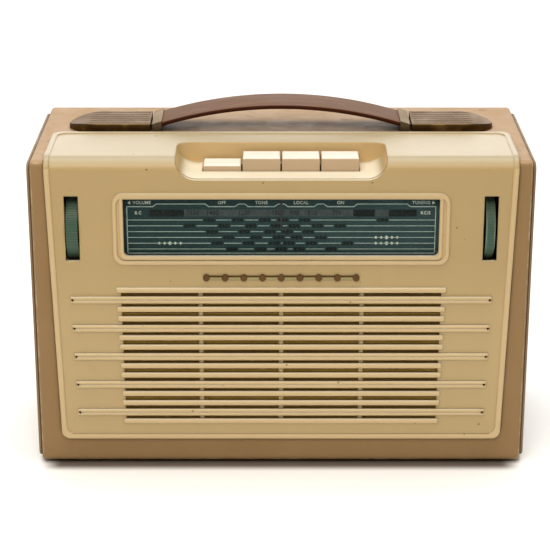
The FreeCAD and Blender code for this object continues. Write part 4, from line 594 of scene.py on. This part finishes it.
def lacquer_finish():
    paint = Finish("dark_metal", roughness=0.4, specular_ior_level=0.2)
    dust = paint.noise(120.0, detail=4.0)
    paint.colour(paint.mix(dust, (0.014, 0.014, 0.016), (0.04, 0.04, 0.042)))
    paint.rough(dust, 0.3, 0.55)
    paint.relief((dust, 0.05 * MM))
    return paint.material


def strap_finish():
    """Smooth brown strap leather: dull rubbed top, dark red-brown dyed edges, painted shade on the
    underside, fine pores and creases.
    """
    paint = Finish("strap_leather", roughness=0.6, specular_ior_level=0.04)
    _, y, _ = paint.axes()
    _, _, up = paint.facing()
    low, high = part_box("strap_left")
    half = (high.y - low.y) / 2
    off = paint.size(paint.calc("SUBTRACT", y, (low.y + high.y) / 2))
    edge = paint.steps(off, half - 0.6 * MM, half - 0.35 * MM)
    wear = paint.noise(35.0, detail=5.0, rough=0.6)
    brown = paint.mix(wear, (0.104, 0.050, 0.028), (0.150, 0.080, 0.046))
    streaks = paint.noise(160.0, detail=4.0, vector=paint.stretched((0.15, 1.0, 1.0)))
    brown = paint.mix(paint.steps(streaks, 0.5, 0.75, 0.0, 0.5), brown, (0.215, 0.130, 0.090))
    # the dyed edges, and painted shade on the underside
    dark = paint.calc("MAXIMUM", edge, paint.steps(up, 0.15, -0.25))
    paint.colour(paint.mix(dark, brown, (0.040, 0.0105, 0.004)))
    pores = paint.cells(1900.0, "SMOOTH_F1")
    paint.rough(wear, 0.45, 0.6)
    paint.relief((streaks, 0.1 * MM), (pores, 0.08 * MM))
    return paint.material


def laminate_finish():
    """Brown phenolic board with a faint woven texture."""
    paint = Finish("card_laminate", roughness=0.42)
    weave = paint.noise(900.0, detail=1.0)
    broad = paint.noise(20.0, detail=3.0)
    card = paint.mix(broad, (0.28, 0.135, 0.045), (0.38, 0.20, 0.075))
    paint.colour(paint.mix(paint.steps(weave, 0.4, 0.7, 0.0, 0.4), card, (0.20, 0.09, 0.03)))
    paint.relief((weave, 0.05 * MM))
    return paint.material


def component_finish():
    """Painted parts: each one its own dull colour, with a paler band round it."""
    paint = Finish("component_mix", roughness=0.4)
    pick = paint.cells(85.0, output="Color", vector=paint.stretched((1.0, 0.2, 1.0)))
    share = paint.axes(pick)
    hue = paint.mix(paint.steps(share[0], 0.3, 0.7), (0.42, 0.10, 0.03), (0.10, 0.16, 0.30))
    hue = paint.mix(paint.steps(share[1], 0.55, 0.65), hue, (0.46, 0.34, 0.12))
    band = paint.steps(paint.noise(240.0, detail=0.0, vector=paint.stretched((1.0, 0.1, 0.1))), 0.58, 0.62)
    paint.colour(paint.mix(paint.times(band, 0.7), hue, (0.65, 0.58, 0.42)))
    paint.relief((paint.noise(400.0), 0.04 * MM))
    return paint.material


def cord_finish():
    paint = Finish("white_cord", roughness=0.8)
    twist = paint.noise(1800.0, detail=2.0)
    paint.colour(paint.mix(twist, (0.42, 0.38, 0.28), (0.72, 0.68, 0.56)))
    paint.relief((twist, 0.1 * MM))
    return paint.material


def cone_finish():
    paint = Finish("paper_cone", roughness=0.9)
    pulp = paint.noise(700.0, detail=5.0)
    paint.colour(paint.mix(pulp, (0.028, 0.026, 0.024), (0.075, 0.070, 0.064)))
    paint.relief((pulp, 0.2 * MM))
    return paint.material


def ferrite_finish():
    paint = Finish("ferrite", roughness=0.5)
    tone = paint.noise(220.0, detail=3.0)
    paint.colour(paint.mix(tone, (0.022, 0.022, 0.024), (0.055, 0.055, 0.058)))
    paint.relief((tone, 0.1 * MM))
    return paint.material


def winding_finish():
    """Enamelled wire wound round the former."""
    paint = Finish("copper_winding", roughness=0.35)
    turns = paint.threads(WINDING_PITCH, "X")
    paint.colour(paint.mix(turns, (0.12, 0.035, 0.012), (0.55, 0.22, 0.08)))
    paint.relief((turns, 0.3 * MM))
    return paint.material


def battery_finish():
    """A printed steel jacket in plain bands of colour."""
    paint = Finish("battery_case", roughness=0.4)
    _, _, z = paint.axes()
    low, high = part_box("battery")
    tall = high.z - low.z
    start, fade = low.z + 0.30 * tall, low.z + 0.62 * tall
    middle = paint.band(z, start, start + 0.3 * MM, fade, fade + 0.3 * MM)
    paper = paint.mix(middle, (0.32, 0.028, 0.022), (0.62, 0.50, 0.26))
    scuffs = paint.noise(60.0, detail=6.0, rough=0.7)
    paint.colour(paint.mix(paint.steps(scuffs, 0.58, 0.8, 0.0, 0.6), paper, (0.24, 0.16, 0.11)))
    paint.rough(scuffs, 0.32, 0.55)
    paint.relief((scuffs, 0.08 * MM))
    return paint.material


def lead_finish():
    paint = Finish("lead_insulation", roughness=0.45)
    tone = paint.noise(150.0, detail=2.0)
    paint.colour(paint.mix(tone, (0.02, 0.018, 0.018), (0.06, 0.055, 0.05)))
    return paint.material


FINISHES = {
    "leathercloth": leathercloth_finish(),
    "plywood": plywood_finish(),
    "cream_moulding": cream_finish(),
    "ivory_keys": key_finish(),
    "green_wheel": wheel_finish(),
    "black_rubber": rubber_finish(),
    "grille_fabric": grille_finish(),
    "dial_window": window_finish(),
    "dial_print": dial_ground_finish(),
    "brass": brass_finish(),
    "zinc_steel": metal_finish("zinc_steel", ZINC_TONES, 0.38, 80.0, (1.0, 1.0, 1.0)),
    "bright_aluminium": metal_finish("bright_aluminium", ALUMINIUM_TONES, 0.32, 300.0, BRUSHED),
    "dark_metal": lacquer_finish(),
    "strap_leather": strap_finish(),
    "card_laminate": laminate_finish(),
    "component_mix": component_finish(),
    "white_cord": cord_finish(),
    "paper_cone": cone_finish(),
    "ferrite": ferrite_finish(),
    "copper_winding": winding_finish(),
    "battery_case": battery_finish(),
    "lead_insulation": lead_finish(),
}


def dress_nodes():
    """Gives each carried-over CAD node the finish of its material slot."""
    for name, node in NODES.items():
        node.data.materials.clear()
        node.data.materials.append(FINISHES[NODE_SLOTS[name]])


# ---------------------------------------------------------------- mesh helpers

INK_THICK = 0.05 * MM
LETTER_WEIGHT = 0.02 * MM
LETTER_SPACING = 1.08


def new_piece(name, points, faces, slot, material=None, smooth=False):
    """A mesh piece in the row frame with the finish of a material slot."""
    mesh = bpy.data.meshes.new(name)
    mesh.from_pydata([tuple(point) for point in points], [], faces)
    mesh.update()
    mesh.materials.append(material or FINISHES[slot])
    if smooth:
        mesh.polygons.foreach_set("use_smooth", [True] * len(mesh.polygons))
    piece = bpy.data.objects.new(name, mesh)
    bpy.context.scene.collection.objects.link(piece)
    return piece


class Print:
    """Flat inked shapes on the dial, each a thin closed plate that faces the front."""

    def __init__(self, back):
        self.back, self.front = back, back - INK_THICK
        self.points, self.faces = [], []

    def plate(self, outline):
        """A closed plate from corners (x, z) that go anticlockwise as seen from the front."""
        first, count = len(self.points), len(outline)
        self.points += [(x, self.front, z) for x, z in outline]
        self.points += [(x, self.back, z) for x, z in outline]
        self.faces.append(tuple(range(first, first + count)))
        self.faces.append(tuple(range(first + 2 * count - 1, first + count - 1, -1)))
        for index in range(count):
            after = (index + 1) % count
            self.faces.append((first + after, first + index, first + count + index, first + count + after))

    def bar(self, left, right, low, high):
        self.plate([(left, low), (right, low), (right, high), (left, high)])

    def loop(self, corners, width):
        """A closed line of even width through the corners, as one plate for each stretch."""
        for (x0, z0), (x1, z1) in zip(corners, corners[1:] + corners[:1]):
            run = Vector((x1 - x0, z1 - z0)).normalized() * width / 2
            side = Vector((-run.y, run.x))
            self.plate(
                [
                    (x0 - run.x - side.x, z0 - run.y - side.y),
                    (x1 + run.x - side.x, z1 + run.y - side.y),
                    (x1 + run.x + side.x, z1 + run.y + side.y),
                    (x0 - run.x + side.x, z0 - run.y + side.y),
                ]
            )

    def piece(self, name, material):
        piece = new_piece(name, self.points, self.faces, "dial_print", material)
        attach(piece, "root")


def lettering(name, words, height, squeeze, back, material):
    """Generic figures and control names, standing on the dial. words holds (text, x, z)."""
    points, faces = [], []
    for text, x, z in words:
        curve = bpy.data.curves.new(name + "_type", "FONT")
        curve.body = text
        curve.size = height
        curve.align_x, curve.align_y = "CENTER", "CENTER"
        curve.resolution_u = 2
        curve.space_character = LETTER_SPACING
        curve.offset = LETTER_WEIGHT
        curve.extrude = INK_THICK / 2
        holder = bpy.data.objects.new(name + "_holder", curve)
        bpy.context.scene.collection.objects.link(holder)
        bpy.context.view_layer.update()
        mesh = bpy.data.meshes.new_from_object(holder)
        first = len(points)
        for vertex in mesh.vertices:
            depth = back - INK_THICK / 2 - vertex.co.z
            points.append((x + vertex.co.x * squeeze, depth, z + vertex.co.y))
        for polygon in mesh.polygons:
            faces.append(tuple(first + corner for corner in polygon.vertices))
        bpy.data.objects.remove(holder)
        bpy.data.meshes.remove(mesh)
        bpy.data.curves.remove(curve)
    piece = new_piece(name, points, faces, "dial_print", material)
    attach(piece, "root")


# ---------------------------------------------------------------- printed dial

LINE_WIDTH = 0.36 * MM
FRAME_WIDTH = 0.48 * MM
FRAME_HALF = 89.0 * MM
FRAME_LOW = 133.9 * MM
# the frame's top line runs at the crest and drops to the shoulder below each name
SHOULDER, CREST = 162.25 * MM, 163.85 * MM
CREST_LEFT, CREST_RIGHT = -74.0 * MM, 74.5 * MM
SLOPE = 2.0 * MM
LABEL_LEVEL = 164.6 * MM
LABEL_HEIGHT, LABEL_SQUEEZE = 2.7 * MM, 0.95
LABEL_HALF = 7.6 * MM
BAND_LOW, BAND_HIGH = 156.35 * MM, 160.5 * MM
BAND_LEFT, BAND_RIGHT = -76.5 * MM, 78.0 * MM
# the darker stretches of the band
BAND_ENDS = ((BAND_LEFT, -56.0 * MM), (41.5 * MM, 54.0 * MM), (62.0 * MM, BAND_RIGHT))
LINE_TOP = 154.15 * MM
LINE_PITCH = 3.54 * MM
# the four names stand above the keys, in key pitches from the middle
KEY_PITCH = 22.8 * MM
KEY_NAMES = (("OFF", -1.5), ("TONE", -0.5), ("LOCAL", 0.5), ("ON", 1.5))
SIDE_NAMES = (("VOLUME", -80.3 * MM), ("TUNING", 80.6 * MM))
UNITS = (("B.C", -82.5 * MM), ("KC/S", 83.2 * MM))
ARROW_TIP, ARROW_FOOT, ARROW_HALF = 88.6 * MM, 86.9 * MM, 1.0 * MM
# the places of the blank station blocks on each of the six lines, in millimetres from the middle
STATIONS = (
    (-41.5, -25, -9.5, 1, 13.5, 58.5),
    (-53, -33, -17.5, -3, 7.5, 21, 34),
    (-40, -21.5, -6.5, 3.5, 15.5),
    (-30.5, -14.5, -1.5, 9, 23),
    (-37, -19, -4, 4.5, 17.5, 38.5),
    (-28.5, -12, 0, 10.5, 29),
)
STATION_HALF, STATION_HIGH = 3.0 * MM, 1.15 * MM
STATION_GAP = 0.9 * MM
BLOCKS = 3
BLOCK_PITCH, BLOCK_WIDTH = 2.1 * MM, 1.8 * MM
# the figures on the band, in millimetres from the middle
NUMERALS = (
    ("1600", -51),
    ("1400", -39.8),
    ("1200", -21.3),
    ("1000", -2),
    ("900", 7.6),
    ("800", 18),
    ("700", 32),
)
NUMERAL_HEIGHT, NUMERAL_SQUEEZE = 4.3 * MM, 0.78
# rows of lozenges: the middle of each and the line that it stands on
LOZENGE_ROWS = ((-64.5 * MM, 4), (61.0 * MM, 3), (61.0 * MM, 4))
LOZENGE_PITCH = 3.1 * MM
LOZENGE_HALF, LOZENGE_MIDDLE_HALF = 0.95 * MM, 1.3 * MM


def dial_frame():
    """The inset frame line: its top drops below each label and at both ends."""
    corners = [(-FRAME_HALF, FRAME_LOW), (FRAME_HALF, FRAME_LOW), (FRAME_HALF, SHOULDER)]
    corners += [(CREST_RIGHT, SHOULDER), (CREST_RIGHT - SLOPE, CREST)]
    for _, place in reversed(KEY_NAMES):
        middle = place * KEY_PITCH
        corners += [
            (middle + LABEL_HALF + SLOPE, CREST),
            (middle + LABEL_HALF, SHOULDER),
            (middle - LABEL_HALF, SHOULDER),
            (middle - LABEL_HALF - SLOPE, CREST),
        ]
    corners += [(CREST_LEFT + SLOPE, CREST), (CREST_LEFT, SHOULDER), (-FRAME_HALF, SHOULDER)]
    return corners


def print_scale(ground, pale, dark):
    """The frame line, and the six scale lines with their blank station blocks."""
    lines = Print(ground)
    lines.loop(dial_frame(), FRAME_WIDTH)
    blocks = Print(ground)
    for row, places in enumerate(STATIONS):
        level = LINE_TOP - row * LINE_PITCH
        low, high = level - LINE_WIDTH / 2, level + LINE_WIDTH / 2
        start = -FRAME_HALF
        for place in places:
            middle = place * MM
            lines.bar(start, middle - STATION_HALF - STATION_GAP, low, high)
            for block in range(BLOCKS):
                left = middle - STATION_HALF + block * BLOCK_PITCH
                blocks.bar(left, left + BLOCK_WIDTH, level - STATION_HIGH, level + STATION_HIGH)
            start = middle + STATION_HALF + STATION_GAP
        lines.bar(start, FRAME_HALF, low, high)
    lines.piece("dial_lines", pale)
    blocks.piece("dial_station_blocks", dark)


def print_band(ground, grey, dark):
    """The band behind the figures, with its darker stretches on top of it."""
    band = Print(ground)
    band.bar(BAND_LEFT, BAND_RIGHT, BAND_LOW, BAND_HIGH)
    band.piece("dial_band", grey)
    ends = Print(ground - INK_THICK)
    for left, right in BAND_ENDS:
        ends.bar(left, right, BAND_LOW, BAND_HIGH)
    ends.piece("dial_band_ends", dark)


def print_words(ground, dark, white):
    """The figures on the band, and the control and unit names."""
    middle = (BAND_LOW + BAND_HIGH) / 2
    figures = [(text, x * MM, middle) for text, x in NUMERALS]
    lettering("dial_numerals", figures, NUMERAL_HEIGHT, NUMERAL_SQUEEZE, ground - INK_THICK, dark)
    labels = [(text, x, LABEL_LEVEL) for text, x in SIDE_NAMES]
    labels += [(text, x, middle) for text, x in UNITS]
    labels += [(text, place * KEY_PITCH, LABEL_LEVEL) for text, place in KEY_NAMES]
    lettering("dial_labels", labels, LABEL_HEIGHT, LABEL_SQUEEZE, ground, white)


def print_marks(ground, white):
    """An arrow beside each wheel's name, and the rows of lozenges."""
    marks = Print(ground)
    for side in (-1, 1):
        tip, foot = side * ARROW_TIP, side * ARROW_FOOT
        corners = [(tip, LABEL_LEVEL), (foot, LABEL_LEVEL - ARROW_HALF), (foot, LABEL_LEVEL + ARROW_HALF)]
        marks.plate(corners if side < 0 else corners[::-1])
    for centre, row in LOZENGE_ROWS:
        level = LINE_TOP - row * LINE_PITCH
        for step in (-2, -1, 0, 1, 2):
            reach = LOZENGE_HALF if step else LOZENGE_MIDDLE_HALF
            x = centre + step * LOZENGE_PITCH
            marks.plate([(x - reach, level), (x, level - reach), (x + reach, level), (x, level + reach)])
    marks.piece("dial_marks", white)


def make_dial():
    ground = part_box("dial_scale")[0].y
    pale = ink_finish("ink_pale", (0.34, 0.44, 0.40), (0.22, 0.31, 0.285))
    white = ink_finish("ink_white", (0.56, 0.62, 0.52), (0.34, 0.40, 0.34))
    dark = ink_finish("ink_dark", (0.004, 0.007, 0.007), (0.008, 0.015, 0.015))
    grey = ink_finish("ink_grey", (0.035, 0.049, 0.050), (0.050, 0.065, 0.065))
    print_scale(ground, pale, dark)
    print_band(ground, grey, dark)
    print_words(ground, dark, white)
    print_marks(ground, white)


# ---------------------------------------------------------------- key springs

COIL_TURNS, COIL_STEPS, WIRE_SIDES = 6, 28, 8
WIRE_RADIUS = 0.35 * MM


def make_spring(node):
    """A coil spring that fills the spring node's box; its foot stays on the key frame."""
    low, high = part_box(node)
    centre = (low + high) / 2
    radius = (high.x - low.x) / 2 - WIRE_RADIUS
    rise = high.z - low.z - 2 * WIRE_RADIUS
    rings = COIL_TURNS * COIL_STEPS + 1
    points, faces = [], []
    for ring in range(rings):
        turn = 2 * math.pi * ring / COIL_STEPS
        level = low.z + WIRE_RADIUS + rise * ring / (rings - 1)
        for side in range(WIRE_SIDES):
            angle = 2 * math.pi * side / WIRE_SIDES
            arm = radius + WIRE_RADIUS * math.cos(angle)
            place = (centre.x + arm * math.cos(turn), centre.y + arm * math.sin(turn))
            points.append((*place, level + WIRE_RADIUS * math.sin(angle)))
    for ring in range(rings - 1):
        for side in range(WIRE_SIDES):
            after = (side + 1) % WIRE_SIDES
            near, far = ring * WIRE_SIDES, (ring + 1) * WIRE_SIDES
            faces.append((near + side, far + side, far + after, near + after))
    faces.append(tuple(range(WIRE_SIDES)))
    faces.append(tuple(range((rings - 1) * WIRE_SIDES, rings * WIRE_SIDES))[::-1])
    coil = new_piece(node + "_coil", points, faces, "zinc_steel", smooth=True)
    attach(coil, "root")
    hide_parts(node)
    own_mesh(coil)


# ---------------------------------------------------------------- strap

STRAP_THICK = 2.6 * MM
STRAP_CROWN, STRAP_EDGE = 0.35 * MM, 0.5 * MM
STRAP_ACROSS, STRAP_ALONG, EDGE_STEPS = 16, 40, 6
# how far the leather runs into each ferrule
STRAP_TUCK = 4.0 * MM
SHARP_EDGE = math.radians(50.0)


def strap_section(half):
    """Points (y, z) round the strap's section: a crowned top, rounded edges and a flat underside."""
    flat = half - STRAP_EDGE
    top, turn = [], []
    for step in range(STRAP_ACROSS + 1):
        y = flat * (2 * step / STRAP_ACROSS - 1)
        share = 1 - (y / flat) ** 2
        # the power keeps the crown broad
        top.append((y, -STRAP_CROWN + STRAP_CROWN * share ** 0.7))
    for step in range(1, EDGE_STEPS):
        angle = math.pi / 2 - math.pi * step / EDGE_STEPS
        fall = (STRAP_THICK - STRAP_CROWN) / 2 * (1 - math.sin(angle))
        turn.append((flat + STRAP_EDGE * math.cos(angle), -STRAP_CROWN - fall))
    bottom = [(y, -STRAP_THICK) for y in (flat, half / 3, -half / 3, -flat)]
    other = [(-y, z) for y, z in reversed(turn)]
    return top + turn + bottom + other


def strap_level(low, high, reach):
    """The level of the strap's top at a distance from the middle, on an arc through the solid's ends."""
    start, end = low.x, high.x
    # the solid's box tells its top at the inner end and its underside at the outer end
    outer_top = low.z + STRAP_THICK
    share = (reach ** 2 - start ** 2) / (end ** 2 - start ** 2)
    return high.z + (outer_top - high.z) * share


def make_strap():
    """The bent leather strap, as two stretches that meet at its middle."""
    low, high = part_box("strap_right")
    centre_y = (low.y + high.y) / 2
    half = (high.y - low.y) / 2
    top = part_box("strap_middle")[1].z
    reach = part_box("ferrule_right")[0].x + STRAP_TUCK
    drop = top - strap_level(low, high, reach)
    radius = (reach ** 2 + drop ** 2) / (2 * drop)
    section = strap_section(half)
    count = len(section)
    for side, node in ((-1, "strap_left"), (1, "strap_right")):
        points, faces = [], []
        for step in range(STRAP_ALONG + 1):
            angle = side * math.asin(reach / radius) * step / STRAP_ALONG
            for y, depth in section:
                arm = radius + depth
                points.append((arm * math.sin(angle), centre_y + y, top - radius + arm * math.cos(angle)))
        for step in range(STRAP_ALONG):
            for index in range(count):
                after = (index + 1) % count
                near, far = step * count, (step + 1) * count
                face = (near + index, near + after, far + after, far + index)
                faces.append(face if side > 0 else face[::-1])
        first = tuple(range(count))
        last = tuple(range(STRAP_ALONG * count, (STRAP_ALONG + 1) * count))
        faces.append(first[::-1] if side > 0 else first)
        faces.append(last if side > 0 else last[::-1])
        piece = new_piece(node + "_leather", points, faces, "strap_leather", smooth=True)
        piece.data.set_sharp_from_angle(angle=SHARP_EDGE)
        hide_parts(node, "strap_middle")
        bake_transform(piece)


# ---------------------------------------------------------------- all together

make_camera()
make_light()
make_floor()
dress_nodes()
make_dial()
make_spring("tone_spring")
make_spring("local_spring")
make_strap()
